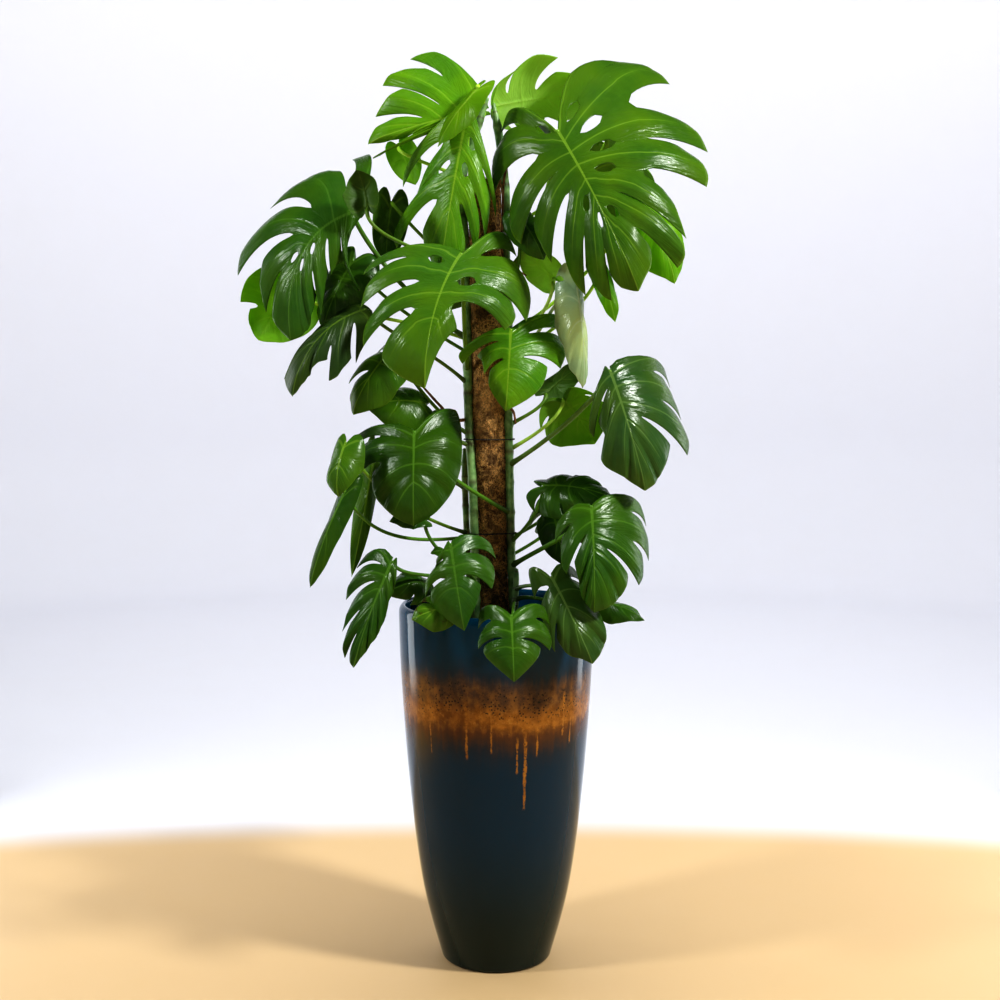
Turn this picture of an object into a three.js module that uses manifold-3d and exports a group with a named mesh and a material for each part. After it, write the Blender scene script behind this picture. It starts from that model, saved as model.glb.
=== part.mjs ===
// Potted split-leaf plant on a coir pole, in a tall barrel planter.
// Millimetres, +Z up, front toward -Y, origin at the middle of the planter's base.
import * as THREE from 'three';
import { mergeVertices } from 'three/addons/utils/BufferGeometryUtils.js';
import Module from 'manifold-3d';

const wasm = await Module();
wasm.setup();

// ---- driving dimensions -------------------------------------------------
const GAP = 0.3; // between touching pieces
const POT_HEIGHT = 724;
const POT_RIM_RADIUS = 195;
const POT_WALL = 14;
const POT_FLOOR = 26;
const POT_SIDES = 32;
const SOIL_LEVEL = 686;
const POLE_TOP = 1557;
const POLE_BOTTOM = 300;
const POLE_RADIUS = 30.5;
const POLE_LEAN = -17.5; // sideways shift of the pole's axis per metre of height
const POLE_AXIS_AT_RIM = -8;
const BLADE = 1.2; // leaf thickness
const COLUMNS = 2; // strips across one lobe
const TWIST = 9; // most that a lobe's free edge turns up or down at the margin
const NOD = 0.05; // how far the margin hangs back, as a share of the leaf's width
const ROWS = [0, 0.55, 1]; // rows of points from the midrib to the margin; each split's inner end adds one
const ROWS_PIERCED = [0, 0.12, 0.22, 0.32, 0.55, 1];

// half-profile of the planter's outside: radius, height
const POT_OUTSIDE = [
  [104, 0], [110, 3], [112, 9], [131, 76], [148, 150], [163, 250],
  [177, 385], [188, 535], [193.5, 640], [POT_RIM_RADIUS, 704], [192.5, 717],
  [186, POT_HEIGHT], [181, 720],
];
const INSIDE_LEVELS = [704, 480, 250, 80]; // heights where the inside wall is given, from the top

// climbing stems: radius and centre line, from inside the soil to the growing end
const STEMS = [
  { name: 'stem_left', radius: 9, path: [
    [-40, -28, 630], [-41, -27, 760], [-46, -24, 950], [-54.5, -8, 1100], [-57, -2, 1260],
    [-60.5, 2, 1420], [-66, -3, 1560], [-40, -10, 1650], [-18, -12, 1712]] },
  { name: 'stem_right', radius: 8.5, path: [
    [38, -16, 630], [30.5, -14, 800], [27, -10, 950], [24, -8, 1100], [24.5, 0, 1250],
    [19.5, 8, 1400], [18, 14, 1540], [6, 16, 1640], [-6, 16, 1706]] },
  { name: 'stem_back', radius: 8, path: [
    [-4, 58, 630], [-8, 50, 800], [-14, 46, 1000], [-18, 46, 1200], [-24, 46, 1400], [-28, 46, 1520]] },
  { name: 'stem_low_left', radius: 6.5, path: [
    [-46, 50, 630], [-56, 42, 780], [-62, 36, 920], [-64, 34, 1030]] },
  { name: 'stem_short_left', radius: 6, path: [
    [-52, -72, 630], [-50, -66, 700], [-42, -62, 790]] },
  { name: 'stem_short_right', radius: 6, path: [
    [34, -78, 630], [36, -70, 700], [40, -62, 800]] },
];
const STEM_SIDES = 7;

// string and wire ties that hold the stems to the pole: height and cord radius
const TIES = [
  { name: 'tie_upper', height: 1052, radius: 1.6 },
  { name: 'tie_lower', height: 866, radius: 1.6 },
];

// aerial roots: radius and centre line, the first point lies in the stem named by number
const ROOTS = [
  { name: 'aerial_root_long', stem: 1, radius: 2.6, path: [
    [12, 15, 1600], [24, -14, 1592], [16, -40, 1560], [12, -46, 1480], [16, -44, 1400], [58, -46, 1370]] },
  { name: 'aerial_root_left', stem: 0, radius: 3.4, path: [
    [-57, -4, 1090], [-82, -30, 1092], [-112, -44, 1122], [-146, -46, 1160]] },
  { name: 'aerial_root_short', stem: 1, radius: 3, path: [
    [24, -8, 1112], [25, -30, 1116], [34, -46, 1106], [38, -50, 1084]] },
];

// Leaves. base: where the stalk meets the blade. tip: the blade's point. face: the way its upper side
// looks. wide: full width. bow: how far the midrib arches and where. sway: sideways bend of the midrib.
// fold and curl, left and right: slope in degrees at the midrib, and the slope added to the margin.
// cutL, cutR: how near each split comes to the midrib, as a share of the half width; 1 is no split.
// ends: middle of each lobe's end, in mm along and across the blade, left side then right side.
// stem and node: the climbing stem and the height its stalk leaves it. via: shift of the stalk's middle.
const LEAVES = [
  { "id": "crown_left", "stem": 0, "node": 1672, "base": [-24, -4, 1690], "tip": [-250, -30, 1626],
    "face": [-0.05, -0.95, 0.3], "wide": 220, "lobes": 4, "bow": [12, 0.5], "fold": [0, 8],
    "curl": [15, 40], "cutL": [0.55, 0.26, 0.26], "cutR": [1, 0.26, 1], "gap": 0.096, "tone": 0.62,
    "ends": [[[45, 170], [148, 149], [180, 82], [223, 25]],
      [[228, 30], [190, 19], [150, 13], [197, 9]]] },
  { "id": "crown_young", "stem": 0, "node": 1698, "base": [-34, -46, 1726], "tip": [-112, -90, 1610],
    "face": [-0.5, -0.8, 0.3], "wide": 62, "lobes": 2, "bow": [8, 0.5], "fold": [20, 20],
    "curl": [20, 20], "cutL": [1], "cutR": [1], "via": [-8, 0, 20], "tone": 1 },
  { "id": "crown_bright", "stem": 0, "node": 1600, "base": [-56, -64, 1672], "tip": [-112, -84, 1346],
    "face": [-0.15, -1, 0.2], "wide": 250, "lobes": 4, "bow": [10, 0.5], "fold": [12, 10],
    "curl": [30, 25], "cutL": [0.32, 0.55, 0.32], "cutR": [0.55, 0.55, 0.32],
    "win": 1, "gap": 0.11, "gapsL": [0.3, 0.1, 0.26], "gapsR": [0.14, 0.16, 0.26], "tone": 0.8,
    "ends": [[[104, 137], [177, 94], [244, 139], [274, 40]],
      [[136, 79], [193, 79], [243, 65], [279, 36]]] },
  { "id": "crown_pale", "stem": 1, "node": 1686, "base": [-4, 22, 1702], "tip": [216, 56, 1736],
    "face": [0, 1, 0.3], "wide": 200, "lobes": 3, "bow": [25, 0.5], "fold": [10, 10],
    "curl": [20, 20], "cutL": [0.26, 0.26], "cutR": [0.26, 0.55], "gap": 0.156, "tone": 0.9,
    "ends": [[[16, 53], [87, 97], [192, 41]], [[5, 44], [89, 79], [184, 46]]] },
  { "id": "top_right", "stem": 1, "node": 1380, "base": [116, -96, 1638], "tip": [264, -204, 1336],
    "face": [-0.05, -0.95, 0.3], "wide": 445, "lobes": 7, "bow": [25, 0.45], "fold": [10, 2],
    "curl": [30, 25], "cutL": [0.55, 0.32, 0.32, 0.32, 0.55, 0.55],
    "cutR": [1, 0.55, 0.55, 0.55, 0.32, 0.55], "win": 1, "tone": 0.45, "stalk": 5,
    "gapsL": [0.12, 0.3, 0.12, 0.26, 0.08, 0.1], "gapsR": [0.1, 0.34, 0.07, 0.28, 0.07, 0.12],
    "ends": [[[-144, 50], [-52, 143], [118, 175], [204, 133], [290, 107], [338, 68], [347, 27]],
      [[-168, 121], [-128, 270], [56, 280], [187, 249], [263, 143], [334, 118], [338, 39]]] },
  { "id": "upper_left", "stem": 0, "node": 1250, "base": [-274, -90, 1486], "tip": [-388, -150, 1246],
    "face": [-0.2, -0.9, 0.35], "wide": 262, "lobes": 5, "bow": [20, 0.36], "fold": [5, 12],
    "curl": [25, 30], "cutL": [0.32, 0.32, 0.32, 0.55], "cutR": [0.32, 0.32, 0.55, 1], "win": 1,
    "sway": -44, "gap": 0.17, "tone": 0.3, "stalk": 4.5,
    "ends": [[[-98, 163], [31, 165], [159, 182], [219, 80], [267, 39]],
      [[162, 122], [117, 64], [227, 61], [262, 44], [286, 24]]] },
  { "id": "centre_front", "stem": 0, "node": 1190, "base": [-66, -132, 1406], "tip": [-130, -252, 1158],
    "face": [-0.05, -0.9, 0.4], "wide": 365, "lobes": 4, "bow": [25, 0.5], "fold": [4, 8],
    "curl": [16, 28], "cutL": [0.55, 0.32, 0.32], "cutR": [0.32, 0.55, 0.32], "win": 1, "gap": 0.12,
    "sway": -14, "gapsL": [0.1, 0.2, 0.34], "gapsR": [0.14, 0.04, 0.38], "tone": 0.35, "stalk": 4.5,
    "ends": [[[36, 161], [102, 154], [189, 134], [248, 90]],
      [[-113, 42], [-30, 153], [80, 145], [183, 37]]] },
  { "id": "centre_heart", "stem": 1, "node": 1150, "base": [28, -110, 1266], "tip": [18, -164, 1112],
    "face": [0.05, -1, 0.12], "wide": 215, "lobes": 3, "bow": [12, 0.5], "fold": [8, 8],
    "curl": [28, 26], "cutL": [0.26, 0.26], "cutR": [0.26, 0.26], "gap": 0.132,
    "via": [0, -8, -14], "tone": 0.6,
    "ends": [[[39, 102], [65, 54], [120, 37]], [[-80, 122], [2, 127], [112, 71]]] },
  { "id": "olive_back", "stem": 1, "node": 1030, "base": [132, -4, 1132], "tip": [200, 56, 1040],
    "face": [-0.1, 0.85, 0.5], "wide": 160, "lobes": 3, "bow": [15, 0.5], "fold": [10, 10],
    "curl": [30, 30], "cutL": [0.55, 1], "cutR": [0.55, 1], "tone": 0.5 },
  { "id": "olive_flap", "stem": 1, "node": 1080, "base": [98, 24, 1142], "tip": [176, 40, 1200],
    "face": [0, 0.9, 0.5], "wide": 66, "lobes": 2, "bow": [8, 0.5], "fold": [8, 8],
    "curl": [30, 30], "cutL": [1], "cutR": [1], "tone": 0.7 },
  { "id": "right_glossy", "stem": 1, "node": 1000, "base": [214, -150, 1188], "tip": [280, -190, 964],
    "face": [0.1, -0.95, 0.25], "wide": 205, "lobes": 5, "bow": [15, 0.5], "fold": [8, 8],
    "curl": [40, 35], "cutL": [0.26, 1, 1, 1], "cutR": [0.55, 0.55, 0.26, 1], "gap": 0.132,
    "tone": 0.15, "stalk": 4.5,
    "ends": [[[84, 71], [122, 47], [165, 66], [203, 34], [226, 13]],
      [[-18, 191], [63, 162], [171, 177], [214, 57], [233, 22]]] },
  { "id": "left_heart", "stem": 1, "node": 905, "base": [-154, -150, 1074], "tip": [-154, -196, 898],
    "face": [0, -0.95, 0.3], "wide": 220, "lobes": 4, "bow": [15, 0.5], "fold": [8, 8],
    "curl": [30, 40], "cutL": [0.45, 0.6, 1], "cutR": [1, 1, 1],
    "via": [0, -26, 0], "tone": 0.2, "stalk": 4,
    "ends": [[[-27, 133], [31, 130], [118, 87], [166, 41]],
      [[-70, 82], [12, 101], [95, 87], [155, 48]]] },
  { "id": "left_pale", "stem": 0, "node": 1040, "base": [-140, -40, 1124], "tip": [-250, -70, 1116],
    "face": [-0.1, -0.8, 0.6], "wide": 125, "lobes": 2, "bow": [15, 0.5], "fold": [8, 8],
    "curl": [35, 35], "cutL": [1], "cutR": [1], "via": [0, -10, -10], "tone": 0.5 },
  { "id": "left_curl", "stem": 3, "node": 860, "base": [-279, -190, 1055], "tip": [-292, -220, 955],
    "face": [-0.35, -0.85, 0.2], "wide": 84, "lobes": 2, "bow": [15, 0.5], "fold": [8, 12],
    "curl": [45, 45], "cutL": [1], "cutR": [1], "via": [0, -26, -24], "tone": 0.5 },
  { "id": "left_strip_a", "stem": 3, "node": 850, "base": [-283, -176, 964], "tip": [-348, -212, 786],
    "face": [-0.4, -0.85, 0.1], "wide": 56, "lobes": 2, "bow": [10, 0.5], "fold": [30, 30],
    "curl": [20, 20], "cutL": [1], "cutR": [1], "via": [0, 0, -50], "tone": 0.2 },
  { "id": "left_strip_b", "stem": 3, "node": 950, "base": [-238, -60, 1018], "tip": [-279, -100, 790],
    "face": [0.2, -0.95, 0.1], "wide": 48, "lobes": 2, "bow": [8, 0.5], "fold": [25, 25],
    "curl": [20, 20], "cutL": [1], "cutR": [1], "via": [0, 16, 10], "tone": 0.5 },
  { "id": "low_left", "stem": 4, "node": 770, "base": [-194, -200, 834], "tip": [-264, -260, 644],
    "face": [-0.2, -0.95, 0.2], "wide": 150, "lobes": 5, "bow": [15, 0.5], "fold": [4, 14],
    "curl": [25, 30], "cutL": [0.26, 0.26, 0.55, 0.55], "cutR": [1, 1, 1, 1], "gap": 0.12, "tone": 0.1,
    "ends": [[[-9, 61], [64, 72], [122, 47], [186, 34], [206, 13]],
      [[30, 21], [72, 22], [127, 26], [163, 19], [192, 8]]] },
  { "id": "low_left_dark", "stem": 4, "node": 735, "base": [-126, -96, 776], "tip": [-212, -142, 764],
    "face": [-0.1, -0.85, 0.5], "wide": 104, "lobes": 3, "bow": [25, 0.5], "fold": [10, 10],
    "curl": [60, 60], "cutL": [0.55, 1], "cutR": [0.55, 0.55], "tone": 0.05 },
  { "id": "low_centre", "stem": 4, "node": 780, "base": [-84, -211, 868], "tip": [-58, -257, 712],
    "face": [-0.05, -0.95, 0.3], "wide": 145, "lobes": 3, "bow": [12, 0.5], "fold": [8, 8],
    "curl": [40, 40], "cutL": [0.26, 0.26], "cutR": [0.26, 0.26], "gap": 0.12, "tone": 0.15,
    "ends": [[[35, 36], [62, 72], [112, 59]], [[-13, 87], [60, 90], [121, 34]]] },
  { "id": "rim_spotted", "stem": 4, "node": 715, "base": [-76, -204, 754], "tip": [-156, -238, 732],
    "face": [-0.1, -0.9, 0.45], "wide": 85, "lobes": 3, "bow": [8, 0.5], "fold": [8, 8],
    "curl": [30, 30], "cutL": [1, 0.55], "cutR": [0.55, 1], "tone": 0.4 },
  { "id": "bottom_centre", "stem": 5, "node": 730, "base": [28, -268, 744], "tip": [33, -318, 630],
    "face": [0, -0.9, 0.45], "wide": 155, "lobes": 3, "bow": [12, 0.5], "fold": [8, 8],
    "curl": [40, 40], "cutL": [0.55, 0.26], "cutR": [0.55, 0.26], "gap": 0.12, "tone": 0.3,
    "ends": [[[-34, 61], [27, 72], [72, 59]], [[-39, 72], [29, 90], [84, 51]]] },
  { "id": "bottom_right", "stem": 5, "node": 760, "base": [104, -180, 802], "tip": [180, -240, 648],
    "face": [0.1, -0.95, 0.3], "wide": 158, "lobes": 4, "bow": [12, 0.5], "fold": [8, 8],
    "curl": [40, 40], "cutL": [0.26, 0.55, 1], "cutR": [0.55, 1, 1], "tone": 0.15,
    "ends": [[[-38, 32], [104, 62], [144, 41], [168, 14]], [[-15, 57], [68, 67], [142, 55], [172, 25]]] },
  { "id": "right_low", "stem": 1, "node": 800, "base": [178, -190, 936], "tip": [182, -240, 742],
    "face": [0.05, -0.95, 0.3], "wide": 200, "lobes": 5, "bow": [15, 0.5], "fold": [8, 8],
    "curl": [40, 40], "cutL": [0.55, 0.26, 1, 1], "cutR": [0.55, 0.55, 0.26, 1], "gap": 0.132,
    "tone": 0.3, "stalk": 4.5,
    "ends": [[[20, 69], [104, 66], [141, 31], [171, 24], [191, 11]],
      [[-37, 127], [42, 182], [134, 130], [163, 71], [191, 34]]] },
  { "id": "right_flat", "stem": 1, "node": 850, "base": [92, -100, 968], "tip": [226, -134, 946],
    "face": [0.1, -0.7, 0.7], "wide": 125, "lobes": 4, "bow": [12, 0.5], "fold": [8, 8],
    "curl": [35, 35], "cutL": [0.26, 0.55, 1], "cutR": [0.55, 0.55, 1], "tone": 0.25 },
  { "id": "right_back", "stem": 2, "node": 830, "base": [110, -24, 917], "tip": [133, -50, 805],
    "face": [0.1, -0.95, 0.2], "wide": 84, "lobes": 3, "bow": [10, 0.5], "fold": [8, 8],
    "curl": [30, 30], "cutL": [0.55, 1], "cutR": [0.55, 1], "tone": 0.3 },
  { "id": "right_small", "stem": 5, "node": 740, "base": [198, -150, 750], "tip": [280, -190, 722],
    "face": [0, -0.6, 0.8], "wide": 62, "lobes": 2, "bow": [10, 0.5], "fold": [25, 25],
    "curl": [20, 20], "cutL": [1], "cutR": [1], "tone": 0.1 },
  { "id": "lime_left", "stem": 2, "node": 1230, "base": [-406, -8, 1346], "tip": [-466, -34, 1242],
    "face": [0, 0.95, 0.3], "wide": 165, "lobes": 3, "bow": [12, 0.5], "fold": [8, 8],
    "curl": [25, 25], "cutL": [1, 1], "cutR": [1, 0.55], "tone": 1 },
  { "id": "olive_arch", "stem": 0, "node": 1160, "base": [-248, -112, 1304], "tip": [-382, -182, 1142],
    "face": [-0.3, -0.75, 0.6], "wide": 150, "lobes": 4, "bow": [25, 0.45], "fold": [15, 15],
    "curl": [40, 40], "cutL": [1, 0.55, 1], "cutR": [0.26, 0.55, 1], "sway": -18, "gap": 0.132,
    "via": [0, 0, 26], "tone": 0,
    "ends": [[[32, 52], [110, 58], [185, 68], [205, 50]], [[32, 58], [164, 70], [170, 26], [208, 12]]] },
  { "id": "behind_five", "stem": 2, "node": 1200, "base": [-276, -54, 1398], "tip": [-334, -74, 1264],
    "face": [-0.3, -0.9, 0.3], "wide": 115, "lobes": 3, "bow": [12, 0.5], "fold": [8, 8],
    "curl": [30, 30], "cutL": [0.55, 1], "cutR": [1, 1], "tone": 0.3 },
  { "id": "behind_six", "stem": 0, "node": 1062, "base": [-198, -76, 1230], "tip": [-276, -114, 1104],
    "face": [-0.3, -0.8, 0.5], "wide": 130, "lobes": 3, "bow": [15, 0.5], "fold": [8, 8],
    "curl": [40, 40], "cutL": [0.26, 0.26], "cutR": [0.55, 1], "via": [0, 12, 0], "tone": 0.6 },
  { "id": "olive_mid", "stem": 2, "node": 1350, "base": [-208, 30, 1518], "tip": [-218, 12, 1398],
    "face": [-0.2, 0.9, 0.2], "wide": 78, "lobes": 2, "bow": [8, 0.5], "fold": [8, 8],
    "curl": [30, 30], "cutL": [1], "cutR": [1], "tone": 0.4 },
  { "id": "lime_right", "stem": 1, "node": 1260, "base": [276, -56, 1520], "tip": [342, -96, 1352],
    "face": [0.2, -0.9, 0.3], "wide": 130, "lobes": 4, "bow": [15, 0.5], "fold": [8, 8],
    "curl": [30, 30], "cutL": [0.55, 0.55, 1], "cutR": [0.55, 0.55, 1], "tone": 0.85 },
  { "id": "lime_lobe", "stem": 1, "node": 1210, "base": [200, -46, 1380], "tip": [228, -86, 1280],
    "face": [0.1, -0.9, 0.3], "wide": 44, "lobes": 2, "bow": [10, 0.5], "fold": [8, 8],
    "curl": [30, 30], "cutL": [1], "cutR": [1], "tone": 1 },
  { "id": "white_hang", "stem": 1, "node": 1180, "base": [154, -86, 1352], "tip": [168, -114, 1154],
    "face": [0.5, -0.8, 0.2], "wide": 92, "lobes": 4, "bow": [8, 0.5], "fold": [30, 30],
    "curl": [30, 30], "cutL": [0.55, 1, 1], "cutR": [0.55, 0.55, 1], "via": [0, 0, 30], "tone": 0.7 },
  { "id": "dark_fold", "stem": 1, "node": 1330, "base": [40, -79, 1486], "tip": [92, -101, 1396],
    "face": [0.1, -0.95, 0.3], "wide": 84, "lobes": 2, "bow": [12, 0.5], "fold": [15, 15],
    "curl": [50, 50], "cutL": [1], "cutR": [1], "via": [18, 0, 10], "tone": 0.1 },
  { "id": "under_tri", "stem": 1, "node": 1240, "base": [112, -22, 1366], "tip": [46, -34, 1424],
    "face": [0, 0.9, 0.5], "wide": 76, "lobes": 2, "bow": [8, 0.5], "fold": [8, 8],
    "curl": [30, 30], "cutL": [1], "cutR": [1], "via": [0, 20, -8], "tone": 0.8 },
  { "id": "dark_small", "stem": 4, "node": 786, "base": [-138, -90, 902], "tip": [-204, -126, 902],
    "face": [-0.1, -0.7, 0.7], "wide": 46, "lobes": 2, "bow": [8, 0.5], "fold": [8, 8],
    "curl": [30, 30], "cutL": [1], "cutR": [1], "tone": 0.1 },
  { "id": "upper_fold", "stem": 0, "node": 1380, "base": [-242, -116, 1492], "tip": [-260, -124, 1565],
    "face": [0.15, 0.95, 0.1], "wide": 84, "lobes": 2, "bow": [14, 0.5], "fold": [10, 10],
    "curl": [50, 50], "cutL": [1], "cutR": [1], "via": [0, 12, 0], "tone": 0.05 },
  { "id": "lime_tri", "stem": 0, "node": 1560, "base": [-191, 40, 1626], "tip": [-157, 32, 1550],
    "face": [0, 0.95, 0.2], "wide": 66, "lobes": 2, "bow": [8, 0.5], "fold": [8, 8],
    "curl": [20, 20], "cutL": [1], "cutR": [1], "tone": 0.85 },
  { "id": "small_mid", "stem": 4, "node": 760, "base": [-85, -100, 829], "tip": [-126, -126, 842],
    "face": [-0.1, -0.6, 0.8], "wide": 46, "lobes": 2, "bow": [9, 0.5], "fold": [8, 8],
    "curl": [40, 40], "cutL": [1], "cutR": [1], "via": [0, 20, 0], "tone": 0.05 },
  { "id": "back_top", "stem": 2, "node": 1440, "base": [222, 150, 1650], "tip": [300, 252, 1482],
    "face": [0.35, 0.75, 0.5], "wide": 200, "lobes": 3, "bow": [20, 0.5], "fold": [8, 8],
    "curl": [35, 35], "cutL": [0.55, 1], "cutR": [0.55, 0.55], "gap": 0.132, "tone": 0.8 },
  { "id": "back_middle", "stem": 2, "node": 1290, "base": [-60, 150, 1400], "tip": [-112, 330, 1318],
    "face": [-0.2, 0.5, 0.85], "wide": 200, "lobes": 3, "bow": [20, 0.5], "fold": [8, 8],
    "curl": [35, 35], "cutL": [0.55, 0.55], "cutR": [0.55, 0.55], "gap": 0.132, "tone": 0.45 },
  { "id": "back_left", "stem": 2, "node": 960, "base": [-150, 140, 1092], "tip": [-200, 296, 960],
    "face": [-0.3, 0.7, 0.5], "wide": 180, "lobes": 3, "bow": [15, 0.5], "fold": [8, 8],
    "curl": [35, 35], "cutL": [0.55, 0.55], "cutR": [0.55, 0.55], "tone": 0.25 },
  { "id": "back_low", "stem": 2, "node": 740, "base": [-50, 160, 842], "tip": [-76, 322, 752],
    "face": [-0.1, 0.6, 0.6], "wide": 165, "lobes": 3, "bow": [12, 0.5], "fold": [8, 8],
    "curl": [35, 35], "cutL": [0.55, 0.55], "cutR": [0.55, 0.55], "tone": 0.2 },
  { "id": "back_right", "stem": 2, "node": 790, "base": [140, 140, 908], "tip": [212, 284, 806],
    "face": [0.3, 0.7, 0.5], "wide": 185, "lobes": 3, "bow": [15, 0.5], "fold": [8, 8],
    "curl": [35, 35], "cutL": [0.55, 0.55], "cutR": [0.55, 0.55], "tone": 0.25 },
];

// ---- small helpers ------------------------------------------------------
const vec = (p) => new THREE.Vector3(p[0], p[1], p[2]);

function noise(i, k) {
  const v = Math.sin(i * 12.9898 + k * 78.233) * 43758.5453;
  return v - Math.floor(v);
}

function solidOf(geometry) {
  const g = geometry.clone();
  g.deleteAttribute('normal');
  g.deleteAttribute('uv');
  const m = mergeVertices(g, 1e-4);
  return new wasm.Manifold(new wasm.Mesh({
    numProp: 3,
    vertProperties: new Float32Array(m.attributes.position.array),
    triVerts: new Uint32Array(m.index.array),
  }));
}

function geometryOf(solid) {
  const mesh = solid.getMesh();
  const g = new THREE.BufferGeometry();
  const flat = new Float32Array(mesh.numVert * 3);
  for (let i = 0; i < mesh.numVert; i += 1) {
    for (let k = 0; k < 3; k += 1) {
      flat[i * 3 + k] = mesh.vertProperties[i * mesh.numProp + k];
    }
  }
  g.setAttribute('position', new THREE.BufferAttribute(flat, 3));
  g.setIndex(Array.from(mesh.triVerts));
  return g;
}

function disc(radius, sides) {
  const shape = new THREE.Shape();
  for (let i = 0; i < sides; i += 1) {
    const a = (i / sides) * Math.PI * 2;
    const p = [Math.cos(a) * radius, Math.sin(a) * radius];
    if (i === 0) {
      shape.moveTo(p[0], p[1]);
    } else {
      shape.lineTo(p[0], p[1]);
    }
  }
  shape.closePath();
  return shape;
}

function tube(curve, radius, sides, steps) {
  return new THREE.ExtrudeGeometry(disc(radius, sides), { steps, extrudePath: curve });
}

// ---- planter, soil and pole --------------------------------------------
function wallInside(z) {
  const pts = POT_OUTSIDE.filter((p) => p[1] <= 704);
  for (let i = 1; i < pts.length; i += 1) {
    if (z <= pts[i][1]) {
      const k = (z - pts[i - 1][1]) / (pts[i][1] - pts[i - 1][1]);
      return pts[i - 1][0] + (pts[i][0] - pts[i - 1][0]) * k - POT_WALL;
    }
  }
  return pts[pts.length - 1][0] - POT_WALL;
}

function planter() {
  const profile = [[0, 0], ...POT_OUTSIDE, ...INSIDE_LEVELS.map((z) => [wallInside(z), z]),
    [96, POT_FLOOR], [0, POT_FLOOR]];
  return new THREE.LatheGeometry(profile.map((p) => new THREE.Vector2(p[0], p[1])), POT_SIDES)
    .rotateX(Math.PI / 2);
}

function poleRadius(angle, z) {
  const lumps = Math.sin(angle * 3 + z * 0.021) + Math.sin(angle * 5 - z * 0.043);
  return POLE_RADIUS + (POLE_TOP - z) * 0.0025 + lumps * 0.7;
}

function poleAxis(z) {
  return POLE_AXIS_AT_RIM + (z - POT_HEIGHT) * POLE_LEAN * 0.001;
}

function pole(extra) {
  const profile = [[0, POLE_BOTTOM - extra], [1, POLE_BOTTOM - extra]];
  for (let i = 1; i <= 10; i += 1) {
    profile.push([1, POLE_BOTTOM + ((POLE_TOP - POLE_BOTTOM) * i) / 10 + (i === 10 ? extra : 0)]);
  }
  profile.push([0, POLE_TOP + extra]);
  const g = new THREE.LatheGeometry(profile.map((p) => new THREE.Vector2(p[0], p[1])), 12)
    .rotateX(Math.PI / 2);
  const pos = g.attributes.position;
  for (let i = 0; i < pos.count; i += 1) {
    const z = pos.getZ(i);
    const rim = Math.hypot(pos.getX(i), pos.getY(i));
    const angle = Math.atan2(pos.getY(i), pos.getX(i));
    const r = rim > 0.5 ? poleRadius(angle, z) + extra : 0;
    pos.setXYZ(i, poleAxis(z) + Math.cos(angle) * r, Math.sin(angle) * r, z);
  }
  return g;
}

function stemCurve(stem) {
  return new THREE.CatmullRomCurve3(stem.path.map(vec));
}

function stemSolid(stem, extra) {
  return solidOf(tube(stemCurve(stem), stem.radius + extra, STEM_SIDES, stem.path.length + 1));
}

function stemAt(stem, height) {
  const curve = stemCurve(stem);
  let best = curve.getPoint(0);
  for (let i = 0; i <= 400; i += 1) {
    const p = curve.getPoint(i / 400);
    if (Math.abs(p.z - height) < Math.abs(best.z - height)) {
      best = p;
    }
  }
  return best;
}

function largest(solid) {
  const bodies = solid.decompose();
  return bodies.reduce((a, b) => (b.volume() > a.volume() ? b : a));
}

function soil(holes) {
  const z0 = POT_FLOOR + GAP;
  const profile = [[0, z0], [96 - GAP, z0]];
  const wall = (z) => {
    const upper = [...INSIDE_LEVELS].reverse().find((v) => v >= z);
    const lower = INSIDE_LEVELS.find((v) => v <= z);
    const k = upper === lower ? 0 : (z - lower) / (upper - lower);
    return wallInside(lower) * (1 - k) + wallInside(upper) * k - GAP;
  };
  [80, 250, 480, SOIL_LEVEL - 4].forEach((z) => profile.push([wall(z), z]));
  profile.push([120, SOIL_LEVEL + 4], [0, SOIL_LEVEL + 10]);
  let body = solidOf(new THREE.LatheGeometry(profile.map((p) => new THREE.Vector2(p[0], p[1])), POT_SIDES)
    .rotateX(Math.PI / 2));
  holes.forEach((h) => {
    body = body.subtract(h);
  });
  return body;
}

// ---- leaf blade ---------------------------------------------------------
const SLIM = [[-0.07, 0.03], [-0.21, 0.2], [-0.1, 0.41], [0.13, 0.5], [0.36, 0.48],
  [0.57, 0.4], [0.75, 0.27], [0.89, 0.11], [1, 0]];
const FULL = [[-0.07, 0.03], [-0.25, 0.21], [-0.12, 0.43], [0.14, 0.52], [0.42, 0.52],
  [0.66, 0.47], [0.86, 0.35], [0.96, 0.16], [1, 0]];
const OUTLINE = SLIM.map((p, i) => [p[0] * 0.6 + FULL[i][0] * 0.4, p[1] * 0.6 + FULL[i][1] * 0.4]);

function spline(points, x) {
  return new THREE.SplineCurve(points.map((p) => new THREE.Vector2(p[0], p[1]))).getPoint(Math.min(x, 1));
}

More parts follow.
